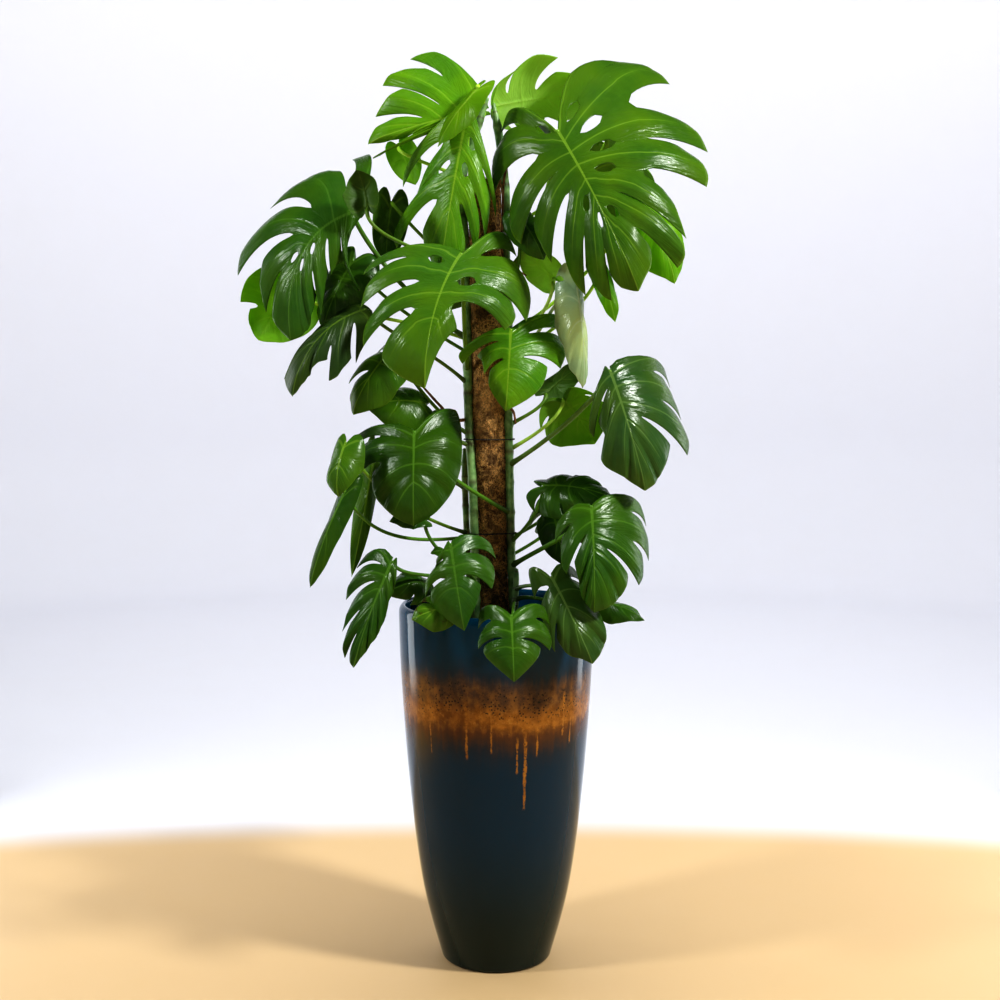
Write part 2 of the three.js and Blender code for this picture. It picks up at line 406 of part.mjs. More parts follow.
// The blade's surface: place(side, along, across) gives the point and the way the surface looks there.
function bladeFrame(leaf) {
  const p0 = vec(leaf.base);
  const p2 = vec(leaf.tip);
  const chord = p2.clone().sub(p0).length();
  const e = p2.clone().sub(p0).normalize();
  const hint = vec(leaf.face);
  const n = hint.sub(e.clone().multiplyScalar(hint.dot(e))).normalize();
  const b = n.clone().cross(e);
  const p1 = p0.clone().addScaledVector(e, chord * leaf.bow[1]).addScaledVector(n, leaf.bow[0] * 2)
    .addScaledVector(b, 2 * (leaf.sway ?? 0));
  const middle = (t) => {
    if (t < 0) {
      return p0.clone().addScaledVector(p1.clone().sub(p0), 2 * t);
    }
    return p0.clone().multiplyScalar((1 - t) ** 2).addScaledVector(p1, 2 * t * (1 - t))
      .addScaledVector(p2, t * t);
  };
  const heading = (t) => {
    const s = Math.max(t, 0);
    return p1.clone().sub(p0).multiplyScalar(2 * (1 - s))
      .addScaledVector(p2.clone().sub(p1), 2 * s).normalize();
  };
  let length = 0;
  for (let i = 0; i < 16; i += 1) {
    length += middle(i / 16).distanceTo(middle((i + 1) / 16));
  }
  const place = (side, along, across) => {
    const f = THREE.MathUtils.degToRad(leaf.fold[side]);
    const k = THREE.MathUtils.degToRad(leaf.curl[side]) / (leaf.wide / 2);
    const reach = (Math.sin(f + k * across) - Math.sin(f)) / k;
    const drop = (Math.cos(f + k * across) - Math.cos(f)) / k;
    const t = heading(along);
    const sideways = n.clone().cross(t).normalize();
    const up = t.clone().cross(sideways);
    const point = middle(along).addScaledVector(sideways, side ? reach : -reach).addScaledVector(up, drop);
    return { point, up };
  };
  return { place, length, e, n, heading };
}

function margin(leaf, frame, side, t) {
  if (!leaf.ends) {
    return spline(OUTLINE, t);
  }
  const n = leaf.lobes;
  const pts = [[-0.06 * frame.length, 0.03 * leaf.wide], ...leaf.ends[side], [frame.length, 0]];
  const h = 0.5 / n;
  let x = t * n + 0.5;
  if (t < h) {
    x = 2 * t * n;
  } else if (t > 1 - h) {
    x = n + (t - 1 + h) * 2 * n;
  }
  const p = spline(pts, x / (n + 1));
  p.x /= frame.length;
  p.y /= leaf.wide;
  return p;
}

// half the opening at a split, or at a hole beside the midrib, as a share of the margin
function opening(leaf, index, side, b, r) {
  const cut = (side ? leaf.cutR : leaf.cutL)[b - 1];
  if (r > cut + 1e-9) {
    const x = (r - cut) / (1 - cut);
    const given = (side ? leaf.gapsR : leaf.gapsL)?.[b - 1];
    const size = given ?? (leaf.gap ?? 0.13) * (0.75 + 0.5 * noise(index, b + 10 * side));
    return (size / leaf.lobes) * x ** 0.4 * (1 - 0.15 * x);
  }
  if (leaf.win && cut > 0.35 && r > 0.1201 && r < 0.3199) {
    const x = (r - 0.22) / 0.1;
    return (0.2 / leaf.lobes) * Math.sqrt(Math.max(0, 1 - x * x));
  }
  return 0;
}

// how far a lobe has parted from its neighbour: 0 where they are joined, 1 at the margin
const parted = (cut, r) => (cut < 1 ? Math.max(0, (r - cut) / (1 - cut)) : 0);

function bladePoint(leaf, frame, index, side, lobe, q, r) {
  const n = leaf.lobes;
  const cuts = side ? leaf.cutR : leaf.cutL;
  const lo = lobe > 0 ? opening(leaf, index, side, lobe, r) : 0;
  const hi = lobe < n - 1 ? opening(leaf, index, side, lobe + 1, r) : 0;
  const t = (lobe + q) / n + lo * (1 - q) ** 2 - hi * q ** 2;
  const near = lobe === 0 ? 0.3 : Number(cuts[lobe - 1] < 1);
  const far = lobe < n - 1 ? Number(cuts[lobe] < 1) : 0;
  const edge = margin(leaf, frame, side, t);
  const free = parted((q < 0.5 ? cuts[lobe - 1] : cuts[lobe]) ?? 1, r);
  const twist = TWIST * (2 * noise(index, 60 + lobe + 10 * side) - 1) * (2 * q - 1) * free ** 1.5;
  const rr = r * (1 - 0.2 * near * (1 - q) ** 2.4 * r ** 3);
  const hook = (0.16 / n) * far * q ** 3 * r ** 4;
  const veins = 0.64 * t ** 1.25;
  const back = 0.24 * rr * (1 - rr) * (t < 0.98 ? 1 : 0) * Math.min(1, edge.y * 4);
  const surface = frame.place(side, veins * (1 - rr) + edge.x * rr - back + hook, edge.y * leaf.wide * rr);
  const roof = 7 * (4 * q * (1 - q) - 0.5) * Math.min(1, r * 1.4) * (lobe < n - 1 ? 1 : 1 - q);
  const nod = NOD * leaf.wide * Math.max(0, 2 * r - 1) ** 2;
  const wave = 6 * r * r * Math.sin(t * 9 + 6.283 * noise(index, 3 + side)) * (1 - t ** 3);
  return surface.point.addScaledVector(surface.up, roof + wave + twist - nod);
}

// one skin of the blade: shared points on the midrib and wherever lobes are still joined
function bladeSkin(leaf, frame, index) {
  const base = leaf.win ? ROWS_PIERCED : ROWS;
  const rows = [...new Set([...base, ...leaf.cutL, ...leaf.cutR])].sort((a, b) => a - b);
  const points = [];
  const seen = new Map();
  const at = (side, lobe, c, j) => {
    let key = `${side}_${lobe}_${c}_${j}`;
    if (j === 0) {
      key = `m_${lobe * COLUMNS + c}`;
    } else if (c === COLUMNS && lobe === leaf.lobes - 1) {
      key = `t_${j}`;
    } else if (c === COLUMNS && opening(leaf, index, side, lobe + 1, rows[j]) === 0) {
      key = `${side}_${lobe + 1}_0_${j}`;
    }
    if (!seen.has(key)) {
      seen.set(key, points.length);
      points.push(bladePoint(leaf, frame, index, side, lobe, c / COLUMNS, rows[j]));
    }
    return seen.get(key);
  };
  const faces = [];
  for (let side = 0; side < 2; side += 1) {
    for (let lobe = 0; lobe < leaf.lobes; lobe += 1) {
      for (let c = 0; c < COLUMNS; c += 1) {
        for (let j = 0; j < rows.length - 1; j += 1) {
          const a = at(side, lobe, c, j);
          const b = at(side, lobe, c + 1, j);
          const d = at(side, lobe, c, j + 1);
          const f = at(side, lobe, c + 1, j + 1);
          const pair = side === 0 ? [[a, b, f], [a, f, d]] : [[a, f, b], [a, d, f]];
          pair.filter((t) => new Set(t).size === 3).forEach((t) => faces.push(t));
        }
      }
    }
  }
  return { points, faces };
}

// both skins, the lower a copy of the upper along its own normals, and the rim between them
function bladeSolid(leaf, frame, index) {
  const { points, faces } = bladeSkin(leaf, frame, index);
  const normals = points.map(() => new THREE.Vector3());
  faces.forEach((t) => {
    const [a, b, c] = t.map((i) => points[i]);
    const n = b.clone().sub(a).cross(c.clone().sub(a));
    t.forEach((i) => normals[i].add(n));
  });
  normals.forEach((n) => n.normalize());
  const count = points.length;
  const flat = [];
  points.forEach((p, i) => flat.push(...p.clone().addScaledVector(normals[i], BLADE / 2).toArray()));
  points.forEach((p, i) => flat.push(...p.clone().addScaledVector(normals[i], -BLADE / 2).toArray()));
  const tris = [];
  const edges = new Set();
  faces.forEach((t) => {
    tris.push(...t);
    tris.push(t[2] + count, t[1] + count, t[0] + count);
    [0, 1, 2].forEach((k) => edges.add(`${t[k]},${t[(k + 1) % 3]}`));
  });
  edges.forEach((key) => {
    const [a, b] = key.split(',').map(Number);
    if (!edges.has(`${b},${a}`)) {
      tris.push(b, a, a + count);
      tris.push(b, a + count, b + count);
    }
  });
  return new wasm.Manifold(new wasm.Mesh({
    numProp: 3,
    vertProperties: new Float32Array(flat),
    triVerts: new Uint32Array(tris),
  }));
}

// the stalk leaves the stem outward and reaches the blade from behind
function stalkCurve(leaf, frame) {
  const start = stemAt(STEMS[leaf.stem], leaf.node);
  const end = vec(leaf.base).addScaledVector(frame.n, -0.3);
  const reach = end.distanceTo(start);
  const out = end.clone().sub(start).setZ(0).normalize();
  const first = start.clone().addScaledVector(out, reach * 0.3).add(new THREE.Vector3(0, 0, reach * 0.16));
  const arrive = frame.n.clone().multiplyScalar(0.75).add(new THREE.Vector3(0, 0, 0.5))
    .addScaledVector(frame.e, 0.15).normalize();
  const second = end.clone().addScaledVector(arrive, -reach * 0.34);
  const via = vec(leaf.via ?? [0, 0, 0]);
  return new THREE.CubicBezierCurve3(start, first.add(via), second.add(via), end);
}

function leafSolid(leaf, index) {
  const frame = bladeFrame(leaf);
  const blade = bladeSolid(leaf, frame, index);
  const stalk = solidOf(tube(stalkCurve(leaf, frame), leaf.stalk ?? 3.4, 5, leaf.stalk ? 5 : 3));
  return largest(blade.add(stalk).subtract(stemSolid(STEMS[leaf.stem], GAP)));
}

// ---- ties and roots -----------------------------------------------------
// the string lies on the hull of the pole and the two main stems
function tieLoop(spec) {
  const rings = [[poleAxis(spec.height), 0, poleRadius(0, spec.height) + 1.6]];
  [0, 1].forEach((i) => {
    const p = stemAt(STEMS[i], spec.height);
    rings.push([p.x, p.y, STEMS[i].radius]);
  });
  const away = spec.radius + GAP + 0.2;
  const loop = [];
  for (let i = 0; i < 20; i += 1) {
    const a = (i / 20) * Math.PI * 2;
    const d = [Math.cos(a), Math.sin(a)];
    const far = rings.map((r) => r[0] * d[0] + r[1] * d[1] + r[2]);
    const r = rings[far.indexOf(Math.max(...far))];
    loop.push(new THREE.Vector3(r[0] + d[0] * (r[2] + away), r[1] + d[1] * (r[2] + away), spec.height));
  }
  return loop.filter((p, i) => i === 0 || p.distanceTo(loop[i - 1]) > 4);
}

function tie(spec) {
  const loop = new THREE.CatmullRomCurve3(tieLoop(spec), true, 'centripetal');
  const body = solidOf(tube(loop, spec.radius, 4, 28)).subtract(solidOf(pole(GAP)));
  return largest([0, 1].reduce((m, i) => m.subtract(stemSolid(STEMS[i], GAP)), body));
}

function root(spec) {
  const curve = new THREE.CatmullRomCurve3(spec.path.map(vec));
  return largest(solidOf(tube(curve, spec.radius, 5, 7)).subtract(stemSolid(STEMS[spec.stem], GAP)));
}

// ---- assembly -----------------------------------------------------------
const LOOKS = {
  glaze: ['#10263a', 0.15],
  soil: ['#2a1d14', 0.95],
  coir: ['#6f4320', 0.95],
  stem: ['#3f6b2c', 0.55],
  root: ['#6b4425', 0.8],
  tie: ['#17181a', 0.6],
};

function leafColour(tone) {
  const low = new THREE.Color('#123a1c');
  const high = new THREE.Color('#8fb63a');
  return low.lerp(high, tone * 0.8);
}

function piece(name, geometry, colour, roughness) {
  const material = new THREE.MeshStandardMaterial({ color: colour, roughness, metalness: 0 });
  const mesh = new THREE.Mesh(geometry, material);
  mesh.name = name;
  return mesh;
}

const group = new THREE.Group();
group.name = 'potted_climber';

group.add(piece('planter', planter(), ...LOOKS.glaze));
const holes = STEMS.map((s) => stemSolid(s, GAP));
holes.push(solidOf(pole(GAP)));
group.add(piece('potting_soil', geometryOf(soil(holes)), ...LOOKS.soil));
group.add(piece('coir_pole', geometryOf(solidOf(pole(0))), ...LOOKS.coir));
STEMS.forEach((s) => group.add(piece(s.name, geometryOf(stemSolid(s, 0)), ...LOOKS.stem)));
TIES.forEach((t) => group.add(piece(t.name, geometryOf(tie(t)), ...LOOKS.tie)));
ROOTS.forEach((r) => group.add(piece(r.name, geometryOf(root(r)), ...LOOKS.root)));
LEAVES.forEach((leaf, i) => {
  const g = geometryOf(leafSolid(leaf, i));
  group.add(piece(`leaf_${leaf.id}`, g, leafColour(leaf.tone), 0.45));
});

export default group;
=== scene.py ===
# Looks of the potted split-leaf climber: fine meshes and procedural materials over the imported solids.
import math

import bpy
import numpy as np
from mathutils import Euler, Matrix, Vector


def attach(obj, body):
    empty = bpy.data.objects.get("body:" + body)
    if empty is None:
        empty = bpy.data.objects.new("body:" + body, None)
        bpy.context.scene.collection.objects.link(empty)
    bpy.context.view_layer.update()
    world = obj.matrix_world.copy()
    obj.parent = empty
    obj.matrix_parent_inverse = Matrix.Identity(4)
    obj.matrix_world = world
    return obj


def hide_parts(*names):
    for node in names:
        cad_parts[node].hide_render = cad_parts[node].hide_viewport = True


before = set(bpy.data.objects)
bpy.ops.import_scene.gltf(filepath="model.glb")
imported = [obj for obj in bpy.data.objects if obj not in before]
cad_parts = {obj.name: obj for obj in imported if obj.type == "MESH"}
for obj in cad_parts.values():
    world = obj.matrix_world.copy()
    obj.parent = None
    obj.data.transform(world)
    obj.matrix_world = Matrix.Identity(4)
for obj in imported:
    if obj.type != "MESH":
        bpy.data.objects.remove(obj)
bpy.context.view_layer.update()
MM = 0.001
TURN = 2 * math.pi


# ---- camera ----
def link(name, data):
    obj = bpy.data.objects.new(name, data)
    bpy.context.scene.collection.objects.link(obj)
    return obj


def add_camera():
    """The photo's view: 2.96 m away, 1.21 m up, 5.4 degrees down."""
    data = bpy.data.cameras.new("camera")
    data.sensor_width = 36
    data.lens = 53.77
    obj = link("camera", data)
    obj.location = (0.0074, -2.960, 1.210)
    obj.rotation_euler = Euler((math.radians(90 - 5.4), 0, 0))
    bpy.context.scene.camera = obj


add_camera()

# ---- the plant's sizes, in millimetres, as in the solids ----
POT_HEIGHT = 724
POT_WALL = 14
POT_FLOOR = 26
POT_SHOULDER = 704
SOIL_LEVEL = 686
SOIL_RADIUS = 176
POLE_TOP = 1557
POLE_BOTTOM = 300
POLE_RADIUS = 30.5
POLE_LEAN = -0.0175
POLE_AXIS_AT_RIM = -8
POT_OUTSIDE = [
    [104, 0], [110, 3], [112, 9], [131, 76], [148, 150], [163, 250],
    [177, 385], [188, 535], [193.5, 640], [195, 704], [192.5, 717],
    [186, 724], [181, 720],
]
STEMS = {
    "stem_left": (9, [[-40, -28, 630], [-41, -27, 760], [-46, -24, 950], [-54.5, -8, 1100],
                      [-57, -2, 1260], [-60.5, 2, 1420], [-66, -3, 1560], [-40, -10, 1650],
                      [-18, -12, 1712]]),
    "stem_right": (8.5, [[38, -16, 630], [30.5, -14, 800], [27, -10, 950], [24, -8, 1100],
                         [24.5, 0, 1250], [19.5, 8, 1400], [18, 14, 1540], [6, 16, 1640],
                         [-6, 16, 1706]]),
    "stem_back": (8, [[-4, 58, 630], [-8, 50, 800], [-14, 46, 1000], [-18, 46, 1200],
                      [-24, 46, 1400], [-28, 46, 1520]]),
    "stem_low_left": (6.5, [[-46, 50, 630], [-56, 42, 780], [-62, 36, 920], [-64, 34, 1030]]),
    "stem_short_left": (6, [[-52, -72, 630], [-50, -66, 700], [-42, -62, 790]]),
    "stem_short_right": (6, [[34, -78, 630], [36, -70, 700], [40, -62, 800]]),
}
STEM_NAMES = list(STEMS)
TIES = {"tie_upper": 1052, "tie_lower": 866}
TIE_RADIUS = 1.6
ROOTS = {
    "aerial_root_long": (2.6, [[12, 15, 1600], [24, -14, 1592], [16, -40, 1560], [12, -46, 1480],
                               [16, -44, 1400], [58, -46, 1370]]),
    "aerial_root_left": (3.4, [[-57, -4, 1090], [-82, -30, 1092], [-112, -44, 1122], [-146, -46, 1160]]),
    "aerial_root_short": (3, [[24, -8, 1112], [25, -30, 1116], [34, -46, 1106], [38, -50, 1084]]),
}

# Leaves, each with these values in turn:
# kind: its colours, a row of KINDS.
# stem and node: the climbing stem's number, and the height at which the leaf's stalk leaves it.
# base and tip: where the stalk meets the blade, and the blade's point.
# face: the way its upper side looks. wide: full width. bow: how far the midrib arches.
# fold and curl, left and right: slope in degrees at the midrib, and the slope added to the margin.
# cuts, left and right: how near each split comes to the midrib, as a share of the half width; 1 is none.
# A last value holds what few have. peak: where along the blade the arch is highest. sway: sideways bend
# of the midrib. gap or gaps: width of the splits, as a share of a lobe. holes: splits also open near the
# midrib. stalk: its radius. via: shift of the stalk's middle.
LEAVES = {
    "crown_left": ("bright", 0, 1672, (-24, -4, 1690), (-250, -30, 1626), (-0.05, -0.95, 0.3), 220, 12,
        (0, 8), (15, 40), (0.55, 0.26, 0.26), (1, 0.26, 1), {"gap": 0.096}),
    "crown_young": ("lime", 0, 1698, (-34, -46, 1726), (-112, -90, 1610), (-0.5, -0.8, 0.3), 62, 8,
        (20, 20), (20, 20), (1,), (1,), {"via": (-8, 0, 20)}),
    "crown_bright": ("bright", 0, 1600, (-56, -64, 1672), (-112, -84, 1346), (-0.15, -1, 0.2), 250, 10,
        (12, 10), (30, 25), (0.32, 0.55, 0.32), (0.55, 0.55, 0.32), {"holes": True,
        "gaps": ((0.3, 0.1, 0.26), (0.14, 0.16, 0.26))}),
    "crown_pale": ("pale", 1, 1686, (-4, 22, 1702), (216, 56, 1736), (0, 1, 0.3), 200, 25, (10, 10),
        (20, 20), (0.26, 0.26), (0.26, 0.55), {"gap": 0.156}),
    "top_right": ("mid", 1, 1380, (116, -96, 1638), (264, -204, 1336), (-0.05, -0.95, 0.3), 445, 25,
        (10, 2), (30, 25), (0.55, 0.32, 0.32, 0.32, 0.55, 0.55), (1, 0.55, 0.55, 0.55, 0.32, 0.55),
        {"peak": 0.45, "stalk": 5, "holes": True,
        "gaps": ((0.12, 0.3, 0.12, 0.26, 0.08, 0.1), (0.1, 0.34, 0.07, 0.28, 0.07, 0.12))}),
    "upper_left": ("deep", 0, 1250, (-274, -90, 1486), (-388, -150, 1246), (-0.2, -0.9, 0.35), 262, 20,
        (5, 12), (25, 30), (0.32, 0.32, 0.32, 0.55), (0.32, 0.32, 0.55, 1), {"peak": 0.36, "gap": 0.17,
        "sway": -44, "stalk": 4.5, "holes": True}),
    "centre_front": ("mid", 0, 1190, (-66, -132, 1406), (-130, -252, 1158), (-0.05, -0.9, 0.4), 365, 25,
        (4, 8), (16, 28), (0.55, 0.32, 0.32), (0.32, 0.55, 0.32), {"sway": -14, "stalk": 4.5,
        "holes": True, "gaps": ((0.1, 0.2, 0.34), (0.14, 0.04, 0.38))}),
    "centre_heart": ("bright", 1, 1150, (28, -110, 1266), (18, -164, 1112), (0.05, -1, 0.12), 215, 12,
        (8, 8), (28, 26), (0.26, 0.26), (0.26, 0.26), {"gap": 0.132, "via": (0, -8, -14)}),
    # olive_back's light colours are painted light, the glow of the leaf lit from behind.
    "olive_back": ("backlit", 1, 1030, (132, -4, 1132), (200, 56, 1040), (-0.1, 0.85, 0.5), 160, 15,
        (10, 10), (30, 30), (0.55, 1), (0.55, 1)),
    "olive_flap": ("olive", 1, 1080, (98, 24, 1142), (176, 40, 1200), (0, 0.9, 0.5), 66, 8, (8, 8),
        (30, 30), (1,), (1,)),
    "right_glossy": ("grey", 1, 1000, (214, -150, 1188), (280, -190, 964), (0.1, -0.95, 0.25), 205, 15,
        (8, 8), (40, 35), (0.26, 1, 1, 1), (0.55, 0.55, 0.26, 1), {"gap": 0.132, "stalk": 4.5}),
    "left_heart": ("dark", 1, 905, (-154, -150, 1074), (-154, -196, 898), (0, -0.95, 0.3), 220, 15, (8, 8),
        (30, 40), (0.45, 0.6, 1), (1, 1, 1), {"stalk": 4, "via": (0, -26, 0)}),
    "left_pale": ("mid", 0, 1040, (-140, -40, 1124), (-250, -70, 1116), (-0.1, -0.8, 0.6), 125, 15, (8, 8),
        (35, 35), (1,), (1,), {"via": (0, -10, -10)}),
    "left_curl": ("mid", 3, 860, (-279, -190, 1055), (-292, -220, 955), (-0.35, -0.85, 0.2), 84, 15,
        (8, 12), (45, 45), (1,), (1,), {"via": (0, -26, -24)}),
    "left_strip_a": ("dark", 3, 850, (-283, -176, 964), (-348, -212, 786), (-0.4, -0.85, 0.1), 56, 10,
        (30, 30), (20, 20), (1,), (1,), {"via": (0, 0, -50)}),
    "left_strip_b": ("mid", 3, 950, (-238, -60, 1018), (-279, -100, 790), (0.2, -0.95, 0.1), 48, 8,
        (25, 25), (20, 20), (1,), (1,), {"via": (0, 16, 10)}),
    "low_left": ("deep", 4, 770, (-194, -200, 834), (-264, -260, 644), (-0.2, -0.95, 0.2), 150, 15,
        (4, 14), (25, 30), (0.26, 0.26, 0.55, 0.55), (1, 1, 1, 1), {"gap": 0.12}),
    "low_left_dark": ("deep", 4, 735, (-126, -96, 776), (-212, -142, 764), (-0.1, -0.85, 0.5), 104, 25,
        (10, 10), (60, 60), (0.55, 1), (0.55, 0.55)),
    "low_centre": ("deep", 4, 780, (-84, -211, 868), (-58, -257, 712), (-0.05, -0.95, 0.3), 145, 12,
        (8, 8), (40, 40), (0.26, 0.26), (0.26, 0.26), {"gap": 0.12}),
    "rim_spotted": ("mid", 4, 715, (-76, -204, 754), (-156, -238, 732), (-0.1, -0.9, 0.45), 85, 8, (8, 8),
        (30, 30), (1, 0.55), (0.55, 1)),
    "bottom_centre": ("dark", 5, 730, (28, -268, 744), (33, -318, 630), (0, -0.9, 0.45), 155, 12, (8, 8),
        (40, 40), (0.55, 0.26), (0.55, 0.26), {"gap": 0.12}),
    "bottom_right": ("grey", 5, 760, (104, -180, 802), (180, -240, 648), (0.1, -0.95, 0.3), 158, 12,
        (8, 8), (40, 40), (0.26, 0.55, 1), (0.55, 1, 1)),
    "right_low": ("dark", 1, 800, (178, -190, 936), (182, -240, 742), (0.05, -0.95, 0.3), 200, 15, (8, 8),
        (40, 40), (0.55, 0.26, 1, 1), (0.55, 0.55, 0.26, 1), {"gap": 0.132, "stalk": 4.5}),
    "right_flat": ("dark", 1, 850, (92, -100, 968), (226, -134, 946), (0.1, -0.7, 0.7), 125, 12, (8, 8),
        (35, 35), (0.26, 0.55, 1), (0.55, 0.55, 1)),
    "right_back": ("dark", 2, 830, (110, -24, 917), (133, -50, 805), (0.1, -0.95, 0.2), 84, 10, (8, 8),
        (30, 30), (0.55, 1), (0.55, 1)),
    "right_small": ("deep", 5, 740, (198, -150, 750), (280, -190, 722), (0, -0.6, 0.8), 62, 10, (25, 25),
        (20, 20), (1,), (1,)),
    "lime_left": ("lime", 2, 1230, (-406, -8, 1346), (-466, -34, 1242), (0, 0.95, 0.3), 165, 12, (8, 8),
        (25, 25), (1, 1), (1, 0.55)),
    "olive_arch": ("olive", 0, 1160, (-248, -112, 1304), (-382, -182, 1142), (-0.3, -0.75, 0.6), 150, 25,
        (15, 15), (40, 40), (1, 0.55, 1), (0.26, 0.55, 1), {"peak": 0.45, "gap": 0.132, "sway": -18,
        "via": (0, 0, 26)}),
    "behind_five": ("dark", 2, 1200, (-276, -54, 1398), (-334, -74, 1264), (-0.3, -0.9, 0.3), 115, 12,
        (8, 8), (30, 30), (0.55, 1), (1, 1)),
    "behind_six": ("mid", 0, 1062, (-198, -76, 1230), (-276, -114, 1104), (-0.3, -0.8, 0.5), 130, 15,
        (8, 8), (40, 40), (0.26, 0.26), (0.55, 1), {"via": (0, 12, 0)}),
    "olive_mid": ("mid", 2, 1350, (-208, 30, 1518), (-218, 12, 1398), (-0.2, 0.9, 0.2), 78, 8, (8, 8),
        (30, 30), (1,), (1,)),
    "lime_right": ("lime", 1, 1260, (276, -56, 1520), (342, -96, 1352), (0.2, -0.9, 0.3), 130, 15, (8, 8),
        (30, 30), (0.55, 0.55, 1), (0.55, 0.55, 1)),
    "lime_lobe": ("lime", 1, 1210, (200, -46, 1380), (228, -86, 1280), (0.1, -0.9, 0.3), 44, 10, (8, 8),
        (30, 30), (1,), (1,)),
    # white_hang's whitish colour is a painted highlight, the glare on a glossy leaf.
    "white_hang": ("silver", 1, 1180, (154, -86, 1352), (168, -114, 1154), (0.5, -0.8, 0.2), 92, 8,
        (30, 30), (30, 30), (0.55, 1, 1), (0.55, 0.55, 1), {"via": (0, 0, 30)}),
    "dark_fold": ("deep", 1, 1330, (40, -79, 1486), (92, -101, 1396), (0.1, -0.95, 0.3), 84, 12, (15, 15),
        (50, 50), (1,), (1,), {"via": (18, 0, 10)}),
    "under_tri": ("pale", 1, 1240, (112, -22, 1366), (46, -34, 1424), (0, 0.9, 0.5), 76, 8, (8, 8),
        (30, 30), (1,), (1,), {"via": (0, 20, -8)}),
    "dark_small": ("deep", 4, 786, (-138, -90, 902), (-204, -126, 902), (-0.1, -0.7, 0.7), 46, 8, (8, 8),
        (30, 30), (1,), (1,)),
    "upper_fold": ("olive", 0, 1380, (-242, -116, 1492), (-260, -124, 1565), (0.15, 0.95, 0.1), 84, 14,
        (10, 10), (50, 50), (1,), (1,), {"via": (0, 12, 0)}),
    "lime_tri": ("lime", 0, 1560, (-191, 40, 1626), (-157, 32, 1550), (0, 0.95, 0.2), 66, 8, (8, 8),
        (20, 20), (1,), (1,)),
    "small_mid": ("deep", 4, 760, (-85, -100, 829), (-126, -126, 842), (-0.1, -0.6, 0.8), 46, 9, (8, 8),
        (40, 40), (1,), (1,), {"via": (0, 20, 0)}),
    "back_top": ("bright", 2, 1440, (222, 150, 1650), (300, 252, 1482), (0.35, 0.75, 0.5), 200, 20, (8, 8),
        (35, 35), (0.55, 1), (0.55, 0.55), {"gap": 0.132}),
    "back_middle": ("mid", 2, 1290, (-60, 150, 1400), (-112, 330, 1318), (-0.2, 0.5, 0.85), 200, 20,
        (8, 8), (35, 35), (0.55, 0.55), (0.55, 0.55), {"gap": 0.132}),
    "back_left": ("dark", 2, 960, (-150, 140, 1092), (-200, 296, 960), (-0.3, 0.7, 0.5), 180, 15, (8, 8),
        (35, 35), (0.55, 0.55), (0.55, 0.55)),
    "back_low": ("deep", 2, 740, (-50, 160, 842), (-76, 322, 752), (-0.1, 0.6, 0.6), 165, 12, (8, 8),
        (35, 35), (0.55, 0.55), (0.55, 0.55)),
    "back_right": ("dark", 2, 790, (140, 140, 908), (212, 284, 806), (0.3, 0.7, 0.5), 185, 15, (8, 8),
        (35, 35), (0.55, 0.55), (0.55, 0.55)),
}

# Middle of each lobe's end, in mm along and across the blade in turn, left side then right side.
ENDS = {
    "crown_left": ((45, 170, 148, 149, 180, 82, 223, 25), (228, 30, 190, 19, 150, 13, 197, 9)),
    "crown_bright": ((104, 137, 177, 94, 244, 139, 274, 40), (136, 79, 193, 79, 243, 65, 279, 36)),
    "crown_pale": ((16, 53, 87, 97, 192, 41), (5, 44, 89, 79, 184, 46)),
    "top_right": ((-144, 50, -52, 143, 118, 175, 204, 133, 290, 107, 338, 68, 347, 27),
        (-168, 121, -128, 270, 56, 280, 187, 249, 263, 143, 334, 118, 338, 39)),
    "upper_left": ((-98, 163, 31, 165, 159, 182, 219, 80, 267, 39),
        (162, 122, 117, 64, 227, 61, 262, 44, 286, 24)),
    "centre_front": ((36, 161, 102, 154, 189, 134, 248, 90), (-113, 42, -30, 153, 80, 145, 183, 37)),
    "centre_heart": ((39, 102, 65, 54, 120, 37), (-80, 122, 2, 127, 112, 71)),
    "right_glossy": ((84, 71, 122, 47, 165, 66, 203, 34, 226, 13),
        (-18, 191, 63, 162, 171, 177, 214, 57, 233, 22)),
    "left_heart": ((-27, 133, 31, 130, 118, 87, 166, 41), (-70, 82, 12, 101, 95, 87, 155, 48)),
    "low_left": ((-9, 61, 64, 72, 122, 47, 186, 34, 206, 13), (30, 21, 72, 22, 127, 26, 163, 19, 192, 8)),
    "low_centre": ((35, 36, 62, 72, 112, 59), (-13, 87, 60, 90, 121, 34)),
    "bottom_centre": ((-34, 61, 27, 72, 72, 59), (-39, 72, 29, 90, 84, 51)),
    "bottom_right": ((-38, 32, 104, 62, 144, 41, 168, 14), (-15, 57, 68, 67, 142, 55, 172, 25)),
    "right_low": ((20, 69, 104, 66, 141, 31, 171, 24, 191, 11),
        (-37, 127, 42, 182, 134, 130, 163, 71, 191, 34)),
    "olive_arch": ((32, 52, 110, 58, 185, 68, 205, 50), (32, 58, 164, 70, 170, 26, 208, 12)),
}


# ---- numbers and curves ----
def noise(i, k):
    v = math.sin(i * 12.9898 + k * 78.233) * 43758.5453
    return v - math.floor(v)


def unit(v):
    v = np.asarray(v, float)
    return v / np.maximum(np.linalg.norm(v, axis=-1, keepdims=True), 1e-12)


def smooth(a, b, x):
    k = np.clip((x - a) / (b - a), 0, 1)
    return k * k * (3 - 2 * k)


def bell(x, width):
    return np.exp(-((x / width) ** 2))


def spline(points, x):
    """A uniform Catmull-Rom curve through 2-D points, at x from 0 to 1."""
    pts = np.pad(np.asarray(points, float), ((1, 2), (0, 0)), "edge")
    p = (len(points) - 1) * np.clip(x, 0, 1)
    i = np.floor(p).astype(int)
    w = (p - i)[..., None]
    a, b, c, d = (pts[i + k] for k in range(4))
    v0 = (c - a) / 2
    v1 = (d - b) / 2
    return (2 * b - 2 * c + v0 + v1) * w**3 + (3 * c - 3 * b - 2 * v0 - v1) * w**2 + v0 * w + b


